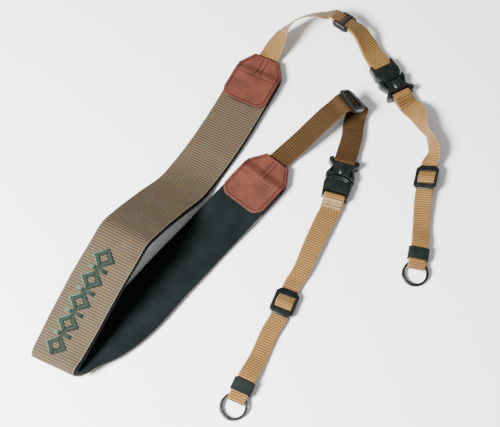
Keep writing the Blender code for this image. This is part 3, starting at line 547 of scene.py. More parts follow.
def woven(name, shades, rib, warp, dye_spread, roughness, shine):
    """Tape woven from dyed yarn: ribs darker between their crests, crossed by warp threads in turn.

    Shades are the hex values of groove, middle and crest: the grooves darkened as painted shade and the
    crests paled as painted light. The yarn's lustre has its own colour, each thread took the dye a little
    differently, and the edges are paler, a painted highlight along the rounded edges.
    """
    crest = colour(shades[2])
    made, tree, shader = surface(name, Roughness=roughness, Specular_IOR_Level=shine, Specular_Tint=crest)
    place = node(tree, "Attribute", {}, "Vector", attribute_name="weave")
    values = {
        "along": node(tree, "SeparateXYZ", {0: place}, "X"),
        "across": node(tree, "SeparateXYZ", {0: place}, "Y"),
        "selvage": node(tree, "Attribute", {}, "Fac", attribute_name="selvage"),
        # Cloudy dyeing, 9 mm across, and single fibres, drawn 0.35 mm coarse so that they show
        "clouds": node(tree, "TexNoise", {"Vector": place, "Scale": 1 / (9 * MM), "Detail": 3.0}),
        "fibres": node(tree, "TexNoise", {"Vector": place, "Scale": 1 / (0.35 * MM), "Detail": 2.0}),
    }
    steps = (
        # Height: ribs as half waves, threads that lie over one rib and under the next
        ("ribs", "DIVIDE", "along", rib),
        ("number", "FLOOR", "ribs", 0),
        ("turn", "MULTIPLY", "number", math.pi),
        ("swell", "MULTIPLY", "ribs", math.pi),
        ("swell", "SINE", "swell", 0),
        ("swell", "ABSOLUTE", "swell", 0),
        ("phase", "MULTIPLY", "across", 2 * math.pi / warp),
        ("threads", "ADD", "phase", "turn"),
        ("threads", "SINE", "threads", 0),
        ("threads", "MULTIPLY", "threads", THREAD_SHARE),
        ("height", "ADD", "threads", 1 - 2 * THREAD_SHARE),
        ("height", "MULTIPLY", "height", "swell"),
        # Painted shade: mostly the rib height, darker in the grooves and paler on the crests, with clouds
        # and fibres
        ("shade", "MULTIPLY", "height", 0.62),
        ("cloudy", "MULTIPLY", "clouds", 0.12),
        ("shade", "ADD", "shade", "cloudy"),
        ("fibrous", "MULTIPLY", "fibres", 0.20),
        ("shade", "ADD", "shade", "fibrous"),
        # Lane: a number of its own for each thread's stretch over a rib
        ("lane", "DIVIDE", "phase", math.pi),
        ("lane", "FLOOR", "lane", 0),
        ("lane", "MULTIPLY", "lane", 57),
        ("lane", "ADD", "number", "lane"),
        ("rough", "MULTIPLY", "fibres", 0.5),
        ("raised", "ADD", "height", "rough"),
        # Paler edges: a painted highlight along the rounded edges of the tape
        ("pale", "MULTIPLY", "selvage", 0.7),
    )
    for result, operation, first, second in steps:
        inputs = {0: values[first], 1: values.get(second, second)}
        values[result] = node(tree, "Math", inputs, operation=operation)
    # Groove to crest tones: painted shade in the grooves, painted light on the crests
    tint = node(tree, "ValToRGB", {"Fac": values["shade"]}, stops=list(zip((0.12, 0.38, 0.72), shades)))
    pick = node(tree, "TexWhiteNoise", {"W": values["lane"]}, "Value", noise_dimensions="1D")
    casts = [(0.0, "8F8068"), (0.5, "7F7F7F"), (1.0, "8C7474")]
    cast = node(tree, "ValToRGB", {"Fac": pick}, stops=casts)
    dyed = node(tree, "MixRGB", {"Fac": dye_spread, 1: tint, 2: cast}, blend_type="SOFT_LIGHT")
    edged = node(tree, "MixRGB", {"Fac": values["pale"], 1: dyed, 2: crest})
    bump = node(tree, "Bump", {"Height": values["raised"], "Distance": 0.16 * MM, "Strength": 0.8})
    dress(shader, Base_Color=edged, Normal=bump)
    return made


def microfibre(name, dark, light):
    """Knitted microfibre over foam: near black and dull, its nap brushed into faint lighter patches."""
    made, tree, shader = surface(name, Roughness=0.93, Specular_IOR_Level=0.1, Sheen_Weight=0.04)
    place = node(tree, "TexCoord", {}, "Object")
    # The nap, drawn 0.5 mm coarse so that it shows, and brushed patches about 14 mm across
    nap = node(tree, "TexNoise", {"Vector": place, "Scale": 1 / (0.5 * MM), "Detail": 4.0})
    patches = node(tree, "TexNoise", {"Vector": place, "Scale": 1 / (14 * MM), "Detail": 2.0})
    mix = node(tree, "Math", {0: nap, 1: patches}, operation="MULTIPLY")
    tint = node(tree, "ValToRGB", {"Fac": mix}, stops=[(0.12, dark), (0.42, light)])
    bump = node(tree, "Bump", {"Height": nap, "Distance": 0.25 * MM, "Strength": 0.6})
    dress(shader, Base_Color=tint, Normal=bump)
    return made


def waxed_leather(name):
    """Oiled cowhide: fine pebbled grain, cloudy red-brown tone, darker along its cut edge, with painted
    shade in the seam grooves.
    """
    made, tree, shader = surface(name, Roughness=0.55, Specular_IOR_Level=0.22)
    place = node(tree, "TexCoord", {}, "Object")
    # Pebbles of 0.9 mm, bent out of true every 1.6 mm, under wax clouds of 11 mm and specks of 1.1 mm
    warp = node(tree, "TexNoise", {"Vector": place, "Scale": 1 / (1.6 * MM), "Detail": 3.0}, "Color")
    bent = node(tree, "MixRGB", {"Fac": 0.0012, 1: place, 2: warp}, blend_type="ADD")
    grain = node(tree, "TexVoronoi", {"Vector": bent, "Scale": 1 / (0.9 * MM)}, "Distance",
                 feature="DISTANCE_TO_EDGE")
    clouds = node(tree, "TexNoise", {"Vector": place, "Scale": 1 / (11 * MM), "Detail": 4.0})
    specks = node(tree, "TexNoise", {"Vector": place, "Scale": 1 / (1.1 * MM), "Detail": 3.0})
    speckled = node(tree, "Math", {0: specks, 1: 0.3}, operation="MULTIPLY")
    mix = node(tree, "Math", {0: clouds, 1: 0.7, 2: speckled}, operation="MULTIPLY_ADD")
    tint = node(tree, "ValToRGB", {"Fac": mix}, stops=[(0.33, "40211A"), (0.5, "4D281E"), (0.68, "5A2F24")])
    cut_edge_and_seam_shade = node(tree, "Attribute", {}, "Fac", attribute_name="edge")
    # Darker along the cut edge, the leather's own colour, and painted shade in the seam grooves
    edged = node(tree, "MixRGB", {"Fac": cut_edge_and_seam_shade, 1: tint, 2: colour("200D08")})
    gloss = node(tree, "MapRange", {"Value": specks, "To Min": 0.44, "To Max": 0.66})
    low = node(tree, "MapRange", {"Value": grain, "From Max": 0.25})
    bump = node(tree, "Bump", {"Height": low, "Distance": 0.10 * MM, "Strength": 0.55})
    dress(shader, Base_Color=edged, Roughness=gloss, Normal=bump)
    return made


def moulded(name, dark, light, roughness, shine):
    """Moulded acetal or rubber: near black, a fine spark-eroded texture, its gloss uneven from handling."""
    made, tree, shader = surface(name, Roughness=roughness, IOR=1.48, Specular_IOR_Level=shine)
    place = node(tree, "TexCoord", {}, "Object")
    # The mould's texture, drawn 0.28 mm coarse so that it shows, and smears of 5 mm
    texture = node(tree, "TexNoise", {"Vector": place, "Scale": 1 / (0.28 * MM), "Detail": 2.0})
    smears = node(tree, "TexNoise", {"Vector": place, "Scale": 1 / (5 * MM), "Detail": 4.0})
    tint = node(tree, "ValToRGB", {"Fac": smears}, stops=[(0.35, dark), (0.7, light)])
    gloss = node(tree, "MapRange", {"Value": smears, "To Min": roughness - 0.1, "To Max": roughness + 0.16})
    bump = node(tree, "Bump", {"Height": texture, "Distance": 0.05 * MM, "Strength": 0.35})
    dress(shader, Base_Color=tint, Roughness=gloss, Normal=bump)
    return made


def steel_wire(name):
    """Blackened spring steel: drawn wire, dark and satin, brighter where the blacking has rubbed off."""
    made, tree, shader = surface(name, Metallic=1.0, Roughness=0.34)
    place = node(tree, "TexCoord", {}, "Object")
    # Rubbed spots of 2.2 mm
    rubbed = node(tree, "TexNoise", {"Vector": place, "Scale": 1 / (2.2 * MM), "Detail": 5.0})
    stops = [(0.35, "232524"), (0.62, "444644"), (0.8, "757672")]
    tint = node(tree, "ValToRGB", {"Fac": rubbed}, stops=stops)
    gloss = node(tree, "MapRange", {"Value": rubbed, "To Min": 0.42, "To Max": 0.24})
    dress(shader, Base_Color=tint, Roughness=gloss)
    return made


def twisted_thread(name, dark, light, roughness):
    """Sewing or embroidery thread: plied polyester or rayon, flecked dark and light by its twist."""
    made, tree, shader = surface(name, Roughness=roughness, Specular_IOR_Level=0.15)
    place = node(tree, "TexCoord", {}, "Object")
    # One turn of the plies every 0.45 mm
    twist = node(tree, "TexNoise", {"Vector": place, "Scale": 1 / (0.45 * MM), "Detail": 2.0})
    tint = node(tree, "ValToRGB", {"Fac": twist}, stops=[(0.3, dark), (0.7, light)])
    bump = node(tree, "Bump", {"Height": twist, "Distance": 0.1 * MM, "Strength": 0.5})
    dress(shader, Base_Color=tint, Normal=bump)
    return made


# Taupe polyester and tan nylon, and a darker copy of the tan: painted shade for strap B's upper webbing
TAUPE = ("3A372D", "595347", "787263")
TAN = ("342613", "745A36", "98774B")
TAN_IN_PAINTED_SHADE = ("18110A", "3D2E1D", "56422C")
BAND_CLOTH = woven("ribbed_polyester_band", TAUPE, BAND_RIB, BAND_WARP, 1.0, 0.9, 0.2)
WEBBING = woven("ribbed_nylon_webbing", TAN, WEB_RIB, WEB_WARP, 0.5, 0.5, 0.3)
WEBBING_IN_PAINTED_SHADE = woven("browner_nylon_webbing", TAN_IN_PAINTED_SHADE, WEB_RIB, WEB_WARP, 0.5, 0.5, 0.3)
BACKING = microfibre("microfibre_backing", "040808", "101818")
LEATHER = waxed_leather("waxed_cowhide")
ACETAL = moulded("moulded_acetal", "040606", "0C1211", 0.32, 0.36)
RUBBER = moulded("moulded_rubber", "0A110F", "151D1B", 0.7, 0.12)
STEEL = steel_wire("blackened_spring_steel")
SEAM_THREAD = twisted_thread("dark_red_seam_thread", "1C0805", "3C130E", 0.6)
CROSS_THREADS = {"a": SEAM_THREAD, "b": twisted_thread("faded_seam_thread", "4F2B20", "80503F", 0.6)}
TACK_THREADS = {"a": twisted_thread("brown_bar_tack_thread", "2A1A0C", "50371D", 0.6),
                "b": twisted_thread("pale_bar_tack_thread", "8A7858", "C0B08E", 0.6)}
DARK_GREEN = twisted_thread("dark_green_rayon", "08110C", "14251B", 0.5)
# Sage thread, laid only where a painted highlight goes
SAGE_HIGHLIGHT_GREEN = twisted_thread("sage_green_rayon", "22352A", "43594A", 0.5)


def new_piece(name, shape, finish, replaced=(), smooth_angle=None):
    """Object from mesh data: it rides on the strap, has its finish and stands for the nodes it replaces."""
    mesh = bpy.data.meshes.new(name)
    shape.to_mesh(mesh)
    shape.free()
    mesh.materials.append(finish)
    mesh.shade_smooth()
    if smooth_angle:
        mesh.set_sharp_from_angle(angle=math.radians(smooth_angle))
    obj = bpy.data.objects.new(name, mesh)
    bpy.context.scene.collection.objects.link(obj)
    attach(obj, BODY)
    if replaced:
        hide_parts(*replaced)
    return obj


def thicken(piece, thickness, offset):
    """Gives an open piece its wall."""
    wall = piece.modifiers.new("wall", "SOLIDIFY")
    wall.thickness = thickness
    wall.offset = offset


def round_edges(piece, width, segments, angle):
    """Rounds the edges that are sharper than an angle in degrees."""
    edge = piece.modifiers.new("edges", "BEVEL")
    edge.width = width
    edge.segments = segments
    edge.limit_method = "ANGLE"
    edge.angle_limit = math.radians(angle)


def oval_section(half_width, half_thick, corner, across, around):
    """Places round a strip's section, a rectangle with rounded edges: (across, height) pairs."""
    flat = half_width - corner
    section = []
    for i in range(across):
        section.append((-flat + 2 * flat * i / across, half_thick))
    for i in range(around):
        angle = math.pi / 2 - math.pi * i / around
        section.append((flat + corner * math.cos(angle), half_thick * math.sin(angle)))
    for i in range(across):
        section.append((flat - 2 * flat * i / across, -half_thick))
    for i in range(around):
        angle = -math.pi / 2 - math.pi * i / around
        section.append((-flat + corner * math.cos(angle), half_thick * math.sin(angle)))
    return np.array(section)


def wrapped_strip(strip, widths, thick, across, around, corner, relief=0.0, rib=WEB_RIB):
    """A grid rolled into a closed strip: its rows are stations, its columns go round the section.

    Relief is the depth between two ribs; the edges draw in with it.
    """
    rows = len(strip.distance) - 1
    unit_section = oval_section(0.5, 0.5, 0.5, across, around)
    columns = len(unit_section)
    shape = bmesh.new()
    bmesh.ops.create_grid(shape, x_segments=rows, y_segments=columns, size=0.5)
    place = shape.verts.layers.float_vector.new("weave")
    selvage = shape.verts.layers.float.new("selvage")
    ribs = np.abs(np.sin(math.pi * strip.distance / rib)) ** 0.7
    sections = []
    for i in range(rows + 1):
        dip = relief * (1 - ribs[i])
        half = widths[i] / 2 - 0.7 * dip
        sections.append(oval_section(half, thick / 2 - dip, corner, across, around))
    for vert in shape.verts:
        i = round((vert.co.x + 0.5) * rows)
        j = round((vert.co.y + 0.5) * columns) % columns
        a, b = sections[i][j]
        vert[place] = (strip.distance[i], a, b)
        # Marks the rounded edges, where the woven finishes paint a highlight
        vert[selvage] = float(abs(a) > widths[i] / 2 - corner)
        vert.co = strip.points[i] + strip.cross[i] * a + strip.normal[i] * b
    bmesh.ops.remove_doubles(shape, verts=shape.verts, dist=TOUCHING)
    ends = [edge for edge in shape.edges if edge.is_boundary]
    bmesh.ops.holes_fill(shape, edges=ends)
    bmesh.ops.recalc_face_normals(shape, faces=shape.faces)
    return shape


def band_stations(route, offset):
    """Stations of a band layer, whose right-hand side keeps its plan angle."""
    stations = []
    for s in np.arange(BAND_INSET, route.length - BAND_INSET, 0.5 * MM):
        point, along, _, _ = route.frame(s)
        cross = plan_vector(*route.read(route.turned, s))
        stations.append((point + unit(np.cross(cross, along)) * offset, cross))
    return stations


def make_band(route):
    """Neck band: the ribbed cloth and its thicker soft backing."""
    cloth = Strip(band_stations(route, CLOTH_LEVEL), BAND_RIB / ROWS_PER_RIB)
    widths = np.full(len(cloth.distance), BAND_WIDTH - BAND_TRIM)
    shape = wrapped_strip(cloth, widths, CLOTH_THICK, 20, 4, CLOTH_THICK / 2, BAND_RELIEF, BAND_RIB)
    piece = new_piece("woven_band", shape, BAND_CLOTH, ["band_cloth"])
    soft = Strip(band_stations(route, BACKING_LEVEL), 1.2 * MM, 1.5 * MM)
    widths = BAND_WIDTH + PAD_OVERHANG + PAD_WAVER * np.sin(soft.distance / PAD_WAVE)
    shape = wrapped_strip(soft, widths, BACKING_THICK, 20, 8, PAD_CORNER)
    pad = new_piece("soft_backing", shape, BACKING, ["band_backing"])
    return cloth


def make_webbing(name, stations, width_at, node_name, finish):
    """Ribbed webbing along stations; width_at gives its width at a distance along it."""
    strip = Strip(stations, WEB_RIB / ROWS_PER_RIB)
    widths = np.array([width_at(s) for s in strip.distance])
    shape = wrapped_strip(strip, widths, WEB_THICK, 8, 4, WEB_THICK / 2, WEB_RELIEF)
    piece = new_piece(name, shape, finish, [node_name])
    return strip


def thread_run(name, finish, stitches):
    """Stitches joined into one piece; each is (middle, along, up, length, thickness)."""
    shape = bmesh.new()
    for middle, along, up, length, thick in stitches:
        axes = np.column_stack([unit(np.cross(up, along)), unit(up), unit(along), middle])
        stitch = bmesh.ops.create_uvsphere(shape, u_segments=8, v_segments=6, radius=thick / 2)["verts"]
        for vert in stitch:
            if abs(vert.co.z) > thick / 20:
                vert.co.z += math.copysign((length - thick) / 2, vert.co.z)
        bmesh.ops.transform(shape, matrix=Matrix([*axes.tolist(), (0, 0, 0, 1)]), verts=stitch)
    bmesh.ops.recalc_face_normals(shape, faces=shape.faces)
    return new_piece(name, shape, finish)


def leather_width(depth):
    """Width of a leather patch at a depth from its narrow end."""
    if depth < SHOULDER_LENGTH:
        return LEATHER_NECK + (BAND_WIDTH - LEATHER_NECK) * depth / SHOULDER_LENGTH
    short = max(0.0, depth - (LEATHER_LENGTH - LEATHER_CORNER))
    return BAND_WIDTH - 2 * (LEATHER_CORNER - math.sqrt(max(0.0, LEATHER_CORNER ** 2 - short ** 2)))


def seam_path():
    """The stitched line inside a patch's outline, from one side of the neck round to the other."""
    slope = (BAND_WIDTH - LEATHER_NECK) / 2 / SHOULDER_LENGTH
    shift = SEAM_INSET * math.hypot(1, slope)
    side = BAND_WIDTH / 2 - SEAM_INSET
    shoulder = (side - LEATHER_NECK / 2 + shift) / slope
    points = [(SEAM_INSET, LEATHER_NECK / 2 - shift + slope * SEAM_INSET), (shoulder, side)]
    radius = LEATHER_CORNER - SEAM_INSET
    centre = (LEATHER_LENGTH - LEATHER_CORNER, BAND_WIDTH / 2 - LEATHER_CORNER)
    for i in range(9):
        angle = math.pi / 2 * i / 8
        points.append((centre[0] + radius * math.sin(angle), centre[1] + radius * math.cos(angle)))
    return points + [(depth, -across) for depth, across in reversed(points)]


def spaced(points, pitch):
    """Places and directions every pitch along a line of points."""
    points = np.array(points)
    run = np.concatenate([[0.0], np.cumsum(np.linalg.norm(np.diff(points, axis=0), axis=1))])
    count = max(1, round(run[-1] / pitch))
    found = []
    for i in range(count):
        s = (i + 0.5) * run[-1] / count
        place = np.array([np.interp(s, run, column) for column in points.T])
        ahead = np.array([np.interp(s + pitch / 4, run, column) for column in points.T])
        back = np.array([np.interp(s - pitch / 4, run, column) for column in points.T])
        found.append((place, ahead - back))
    return found


def leather_seams():
    """All stitched lines of a patch: its rim, the seam across it and the pair down from its neck."""
    reach = BAND_WIDTH / 2 - SEAM_INSET - 1 * MM
    seams = [seam_path(), [(CROSS_SEAM, -reach), (CROSS_SEAM, reach)]]
    seams += [[(2 * MM, side * PAIR_SEAM), (CROSS_SEAM - 1.5 * MM, side * PAIR_SEAM)] for side in (-1, 1)]
    return seams


def make_leather(route, letter, from_start):
    """Both faces of a leather end with their stitching sunk in a shallow groove."""
    mid = -(BACKING_THICK - CLOTH_THICK) / 2
    near = WEB_THICK / 2 + GAP + LEATHER_THICK / 2
    far = {"front": GAP / 2 + CLOTH_THICK + GAP + LEATHER_THICK / 2,
           "back": -GAP / 2 - BACKING_THICK - GAP - LEATHER_THICK / 2}
    seams = leather_seams()
    stations = np.array([place for seam in seams for place, _ in spaced(seam, 0.5 * MM)])
    for face, side in (("front", 1), ("back", -1)):

        def spot(depth, across, lift=0.0):
            """World point, tangent, right-hand side and outward normal on this face."""
            s = depth if from_start else route.length - depth
            point, along, cross, normal = route.frame(s)
            share = np.clip((depth - WEB_INSET) / (BAND_INSET - 2 * GAP - WEB_INSET), 0, 1)
            share = share * share * (3 - 2 * share)
            height = mid + side * near + (far[face] - mid - side * near) * share
            return point + normal * (height + side * lift) + cross * across, along, cross, normal * side

        shape = bmesh.new()
        bmesh.ops.create_grid(shape, x_segments=94, y_segments=64, size=0.5)
        cut_edge_and_seam_shade = shape.verts.layers.float.new("edge")
        for vert in shape.verts:
            depth = (vert.co.x + 0.5) * LEATHER_LENGTH
            half = leather_width(depth) / 2
            across = 2 * vert.co.y * half
            inside = min(half - abs(across), depth, LEATHER_LENGTH - depth)
            groove = np.min((stations[:, 0] - depth) ** 2 + (stations[:, 1] - across) ** 2)
            lift = -SEAM_GROOVE * math.exp(-groove / SEAM_REACH ** 2)
            lift -= RIM_DROP * math.exp(-(inside / RIM_REACH) ** 2)
            cut = math.exp(-(inside / (0.6 * MM)) ** 2)
            # Darker along the cut edge, the leather's own colour, and painted shade in the seam grooves
            vert[cut_edge_and_seam_shade] = max(cut, 0.6 * math.exp(-groove / (0.5 * MM) ** 2))
            vert.co = spot(depth, across, lift)[0]
        bmesh.ops.recalc_face_normals(shape, faces=shape.faces)
        up = spot(BAND_INSET, 0)[3]
        if sum(part.normal.dot(Vector(up)) for part in shape.faces) < 0:
            bmesh.ops.reverse_faces(shape, faces=shape.faces)
        name = f"leather_end_{letter}_{face}"
        piece = new_piece(name, shape, LEATHER, [f"leather_{letter}_{face}"])
        thicken(piece, LEATHER_THICK - 0.1 * MM, 0)
        round_edges(piece, RIM_ROUNDING, 2, 50)
        stitches = []
        crossing = []
        for number, seam in enumerate(seams):
            for (depth, across), (ahead, aside) in spaced(seam, STITCH_PITCH):
                point, along, cross, up = spot(depth, across, LEATHER_THICK / 2 - SEAM_GROOVE)
                run = along * ahead * (1 if from_start else -1) + cross * aside
                stitch = (point, unit(run), up, STITCH_LENGTH, THREAD)
                (crossing if number == 1 else stitches).append(stitch)
        thread_run(f"seam_{letter}_{face}", SEAM_THREAD, stitches)
        thread_run(f"cross_seam_{letter}_{face}", CROSS_THREADS[letter], crossing)


def bar_tack(name, strip, finish):
    """Three dense zigzag rows of thread that hold a sewn tail, on its upper face."""
    stitches = []
    for s in np.linspace(*TACK_SPAN, 3):
        for i in range(13):
            across = (i / 12 - 0.5) * LOOP_WIDTH * 0.8
            point, along, cross, normal = strip.frame(s)
            middle = point + cross * across - normal * (WEB_THICK / 2)
            slant = along * 0.85 + cross * ((0.5 if i % 2 else -0.5) + 0.25 * math.sin(2.4 * i + s / MM))
            stitches.append((middle, unit(slant), -normal, TACK_LENGTH, TACK_THREAD))
    thread_run(name, finish, stitches)


def make_upper(letter, route):
    """Adjuster webbing: out of the leather, over the slider, round the buckle's bar and back."""
    slider = route.marks["slider"]
    bar = route.marks["bar"]
    window = UPPER_SLIDER_LENGTH - 2 * UPPER_END_BAR
    tail = slider - UPPER_SLIDER_LENGTH / 2 - SLIDER_TAIL
    face = UPPER_SLIDER_FACES[letter]
    over = [(0, 0), (tail - PARTING_RUN, 0), (tail - GAP, LAYER), *weave(slider, window, LAYER, face)]
    over += [(bar - BAR_RUN, LAYER), (bar, WRAP_RADIUS)]
    under = [(tail, -LAYER), *weave(slider, window, -LAYER, face)]
    under += [(bar - BAR_RUN, -LAYER), (bar, -WRAP_RADIUS)]
    strip = layer(route, 0, bar, over) + turn(route, bar, WRAP_RADIUS, 1, 1) + layer(route, bar, tail, under)
    # Strap B's upper webbing takes the darker copy of the tan, which is painted shade
    finish = {"a": WEBBING, "b": WEBBING_IN_PAINTED_SHADE}[letter]
    replaced = f"webbing_{letter}_upper"
    make_webbing(f"adjuster_webbing_{letter}", strip, lambda s: UPPER_WIDTH, replaced, finish)


def make_lower(letter, route):
    """Lower webbing: sewn loop on the buckle's bar, over the slider, round the ring and back."""
    bar = route.marks["bar"]
    slider = route.marks["slider"]
    ring = route.marks["ring"]
    window = LOWER_SLIDER_LENGTH - 2 * LOWER_END_BAR
    tail = slider - LOWER_SLIDER_LENGTH / 2 - SLIDER_TAIL
    sewn = bar + LOOP_TAIL
    keeper = (ring - KEEPER_END - KEEPER_LENGTH, ring - KEEPER_END)
    end = ring - RING_CLOTH
    top = [(bar, WRAP_RADIUS), (bar + BAR_RUN * LOOP_CLOSING, LAYER), (sewn, LAYER)]
    over = [(bar, -WRAP_RADIUS), (bar + BAR_RUN * LOOP_CLOSING, -LAYER), (sewn + MM, -LAYER)]
    over += [(sewn + SEWN_LEAD, 0), (tail - PARTING_RUN, 0), (tail - GAP, LAYER)]
    over += [*weave(slider, window, LAYER), (keeper[0], LAYER), (keeper[1], RING_WRAP), (end, RING_WRAP)]
    under = [(tail, -LAYER), *weave(slider, window, -LAYER)]
    under += [(keeper[0], -LAYER), (keeper[1], -RING_WRAP), (end, -RING_WRAP)]
    pieces = [
        layer(route, sewn, bar, top),
        turn(route, bar, WRAP_RADIUS, 1, -1),
        layer(route, bar, end, over),
        turn(route, end, RING_WRAP, 1, 1),
        layer(route, end, tail, under),
    ]
    stations = [station for piece in pieces for station in piece]
    taper_start = LOOP_TAIL + math.pi * WRAP_RADIUS + LOOP_TAIL
    taper_end = taper_start + (tail - sewn) - SEWN_LEAD

    def width_at(s):
        return float(np.interp(s, [taper_start, taper_end], [LOOP_WIDTH, LOWER_WIDTH]))

    strip = make_webbing(f"ring_webbing_{letter}", stations, width_at, f"webbing_{letter}_lower", WEBBING)
    bar_tack(f"bar_tack_{letter}", strip, TACK_THREADS[letter])
    make_keeper(letter, route, keeper)
    make_ring(letter, route.matrix(ring))


def make_keeper(letter, route, span):
    """Rubber sleeve: a grid rolled round both layers, given a wall, with soft rims."""
    shape = bmesh.new()
    bmesh.ops.create_grid(shape, x_segments=10, y_segments=48, size=0.5)
    for vert in shape.verts:
        t = vert.co.x + 0.5
        angle = 2 * math.pi * (vert.co.y + 0.5)
        spread = LAYER + (RING_WRAP - LAYER) * t
        half_width = LOWER_WIDTH / 2 + GAP + KEEPER_WALL
        half_height = spread + WEB_THICK / 2 + GAP + KEEPER_WALL
        x = half_width * math.copysign(abs(math.cos(angle)) ** KEEPER_SQUARENESS, math.cos(angle))
        y = half_height * math.copysign(abs(math.sin(angle)) ** KEEPER_SQUARENESS, math.sin(angle))
        point, _, cross, normal = route.frame(span[0] + (span[1] - span[0]) * t)
        vert.co = point + cross * x + normal * y
    bmesh.ops.remove_doubles(shape, verts=shape.verts, dist=1e-6)
    bmesh.ops.recalc_face_normals(shape, faces=shape.faces)
    piece = new_piece(f"rubber_keeper_{letter}", shape, RUBBER, [f"keeper_{letter}"], 50)
    thicken(piece, KEEPER_WALL, -1)
    round_edges(piece, KEEPER_ROUNDING, 3, 50)


def make_ring(letter, matrix):
    """Split ring: flat wire wound twice, its second coil sprung a little aside, with two cut ends."""
    coil = RING_HEIGHT / 4
    stations = []
    for angle in np.linspace(0, 4 * math.pi, 400):
        t = min(max((angle - 1.75 * math.pi) / (0.5 * math.pi), 0), 1)
        rise = t * t * (3 - 2 * t)
        out = Vector((math.cos(angle + RING_START), math.sin(angle + RING_START), 0))
        spot = out * (RING_OUTER - RING_BAND) / 2 + Vector(RING_SPRING) * (rise - 0.5)
        spot.z = (2 * rise - 1) * coil
        stations.append((np.array(matrix @ spot), np.array(matrix.to_3x3() @ out)))
    wire = Strip(stations, 0.4 * MM, 0.1 * MM)
    widths = np.full(len(wire.distance), RING_BAND)
    shape = wrapped_strip(wire, widths, RING_HEIGHT * RING_WIRE, 4, 6, 0.3 * MM)
    new_piece(f"split_ring_{letter}", shape, STEEL, [f"ring_{letter}"], 40)


def bevelled_copy(name, node_name, finish, width):
    """A moulded piece from its solid, its flat faces merged and its edges rounded."""
    shape = bmesh.new()
    shape.from_mesh(bpy.data.objects[node_name].data)
    bmesh.ops.remove_doubles(shape, verts=shape.verts, dist=1e-6)
    bmesh.ops.dissolve_limit(shape, angle_limit=math.radians(1), verts=shape.verts, edges=shape.edges)
    round_edges(new_piece(name, shape, finish, [node_name], 40), width, 3, 30)


def make_hardware(letter):
    """Sliders and buckle halves, with the raised ribs on the socket and the oval boss on the prong."""
    for part in (f"slider_{letter}_upper", f"slider_{letter}_lower"):
        bevelled_copy(f"moulded_{part}", part, ACETAL, SLIDER_ROUNDING)
    for part in (f"buckle_{letter}_socket", f"buckle_{letter}_prong"):
        bevelled_copy(f"moulded_{part}", part, ACETAL, BUCKLE_ROUNDING)
    matrix = buckle_matrix(BUCKLES[letter], letter == "b")
    for number, (inset, reach) in enumerate(SOCKET_RIBS):
        stations = []
        for side, angles in ((-1, range(90 - reach, 90, 4)), (1, range(90, 90 - reach - 1, -4))):
            for x, y in mouth_arc(-inset, angles):
                spot = matrix @ Vector((x, side * y, BUCKLE_THICK / 2))
                out = matrix.to_3x3() @ Vector((x - SOCKET_LENGTH + MOUTH_ARC, side * y, 0))
                stations.append((np.array(spot), -unit(np.array(out))))
        rib = Strip(stations, 0.5 * MM, 0.4 * MM)
        widths = np.full(len(rib.distance), SOCKET_RIB[0])
        shape = wrapped_strip(rib, widths, SOCKET_RIB[1], 2, 6, SOCKET_RIB[1] / 2)
        new_piece(f"socket_rib_{letter}_{number}", shape, ACETAL)
    boss = bmesh.new()
    size = Matrix.Diagonal((*BOSS_SIZE, 1))
    place = matrix @ Matrix.Translation((BOSS_PLACE, 0, BUCKLE_THICK / 2)) @ size
    bmesh.ops.create_uvsphere(boss, u_segments=40, v_segments=20, radius=1, matrix=place)
    new_piece(f"oval_boss_{letter}", boss, ACETAL)


def make_embroidery(route, cloth):
    """Generic satin-stitched pattern on the band's front stretch: open diamonds with bars between."""
    start = route.marks["front"] - BAND_INSET + PATTERN_START
    tip = DIAMOND_REACH - 0.4 * MM
    dark = []
    light = []

    def satin(s, low, high, run):
        """One thread laid across the band between two offsets."""
        if high - low > THREAD_SHORTEST:
            point, _, cross, normal = cloth.frame(s)
            middle = point + cross * (PATTERN_ASIDE + (low + high) / 2) + normal * CLOTH_THICK / 2
            run.append((middle, cross, normal, high - low + 0.3 * MM, SATIN_THREAD))

    for k in range(DIAMONDS):
        centre = start + k * DIAMOND_PITCH
        for offset in np.arange(-tip, tip + 0.1 * MM, SATIN_PITCH):
            half = DIAMOND_HALF * (1 - abs(offset) / DIAMOND_REACH)
            inner = max(0.0, OPENING_HALF * (1 - abs(offset) / OPENING_REACH))
            split = inner + (half - inner) * DARK_SHARE
            satin(centre + offset, -half, -inner, dark)
            satin(centre + offset, inner, split, dark)
            # The outer part of the right-hand limb in the sage thread, as a painted highlight
            satin(centre + offset, split, half, light)
        if k < DIAMONDS - 1:
            left, change, right = BAR_ENDS
            for offset in np.arange(-BAR_REACH, BAR_REACH + 0.1 * MM, SATIN_PITCH):
                satin(centre + DIAMOND_PITCH / 2 + offset, left, change, dark)
                # The bar's right end in the sage thread, as a painted highlight
                satin(centre + DIAMOND_PITCH / 2 + offset, change, right, light)
    thread_run("embroidery_dark", DARK_GREEN, dark)
    thread_run("embroidery_light", SAGE_HIGHLIGHT_GREEN, light)


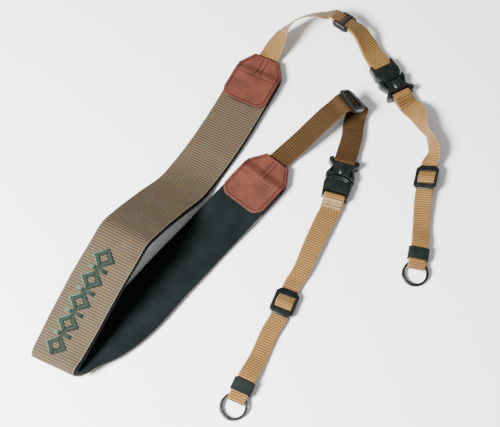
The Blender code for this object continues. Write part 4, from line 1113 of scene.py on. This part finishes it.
def make_floor():
    """Plain pale table top."""
    shape = bmesh.new()
    bmesh.ops.create_grid(shape, x_segments=1, y_segments=1, size=4)
    mesh = bpy.data.meshes.new("table_top")
    shape.to_mesh(mesh)
    shape.free()
    # Melamine laminate with a matt press finish: even white, no visible gloss
    mesh.materials.append(surface("white_laminate", Base_Color=colour("FAFAFA"), Roughness=0.6)[0])
    floor = bpy.data.objects.new("table_top", mesh)
    bpy.context.scene.collection.objects.link(floor)


def make_studio():
    """White room light, one soft key from the left, and the camera at the photograph's angle."""
    world = bpy.data.worlds.new("studio")
    world.use_nodes = True
    world.node_tree.nodes["Background"].inputs["Color"].default_value = colour("FFFFFF")
    world.node_tree.nodes["Background"].inputs["Strength"].default_value = ROOM_LIGHT
    bpy.context.scene.world = world
    lamp = bpy.data.lights.new("key", "AREA")
    lamp.size = KEY_SIZE
    lamp.energy = KEY_POWER
    obj = bpy.data.objects.new("key", lamp)
    obj.location = KEY_PLACE
    obj.rotation_euler = (-Vector(KEY_PLACE)).to_track_quat("-Z", "Y").to_euler()
    bpy.context.scene.collection.objects.link(obj)
    camera = bpy.data.cameras.new("camera")
    camera.sensor_fit = "HORIZONTAL"
    camera.lens = camera.sensor_width * FOCAL / PHOTO_WIDTH
    camera.clip_start = 0.01
    camera.dof.use_dof = False
    obj = bpy.data.objects.new("camera", camera)
    tilt = math.radians(ELEVATION)
    back = Vector((0, -math.cos(tilt), math.sin(tilt)))
    obj.location = Vector(SHIFT) + back * DISTANCE
    obj.rotation_euler = (-back).to_track_quat("-Z", "Y").to_euler()
    bpy.context.scene.collection.objects.link(obj)
    bpy.context.scene.camera = obj


def main():
    make_studio()
    make_floor()
    band = Route(BAND_ROWS, BAND_RISE, SHIFT)
    cloth = make_band(band)
    make_embroidery(band, cloth)
    make_leather(band, "a", True)
    make_leather(band, "b", False)
    for letter in ("a", "b"):
        upper, lower = strap_routes(letter, SHIFT)
        make_upper(letter, upper)
        make_lower(letter, lower)
        make_hardware(letter)


main()
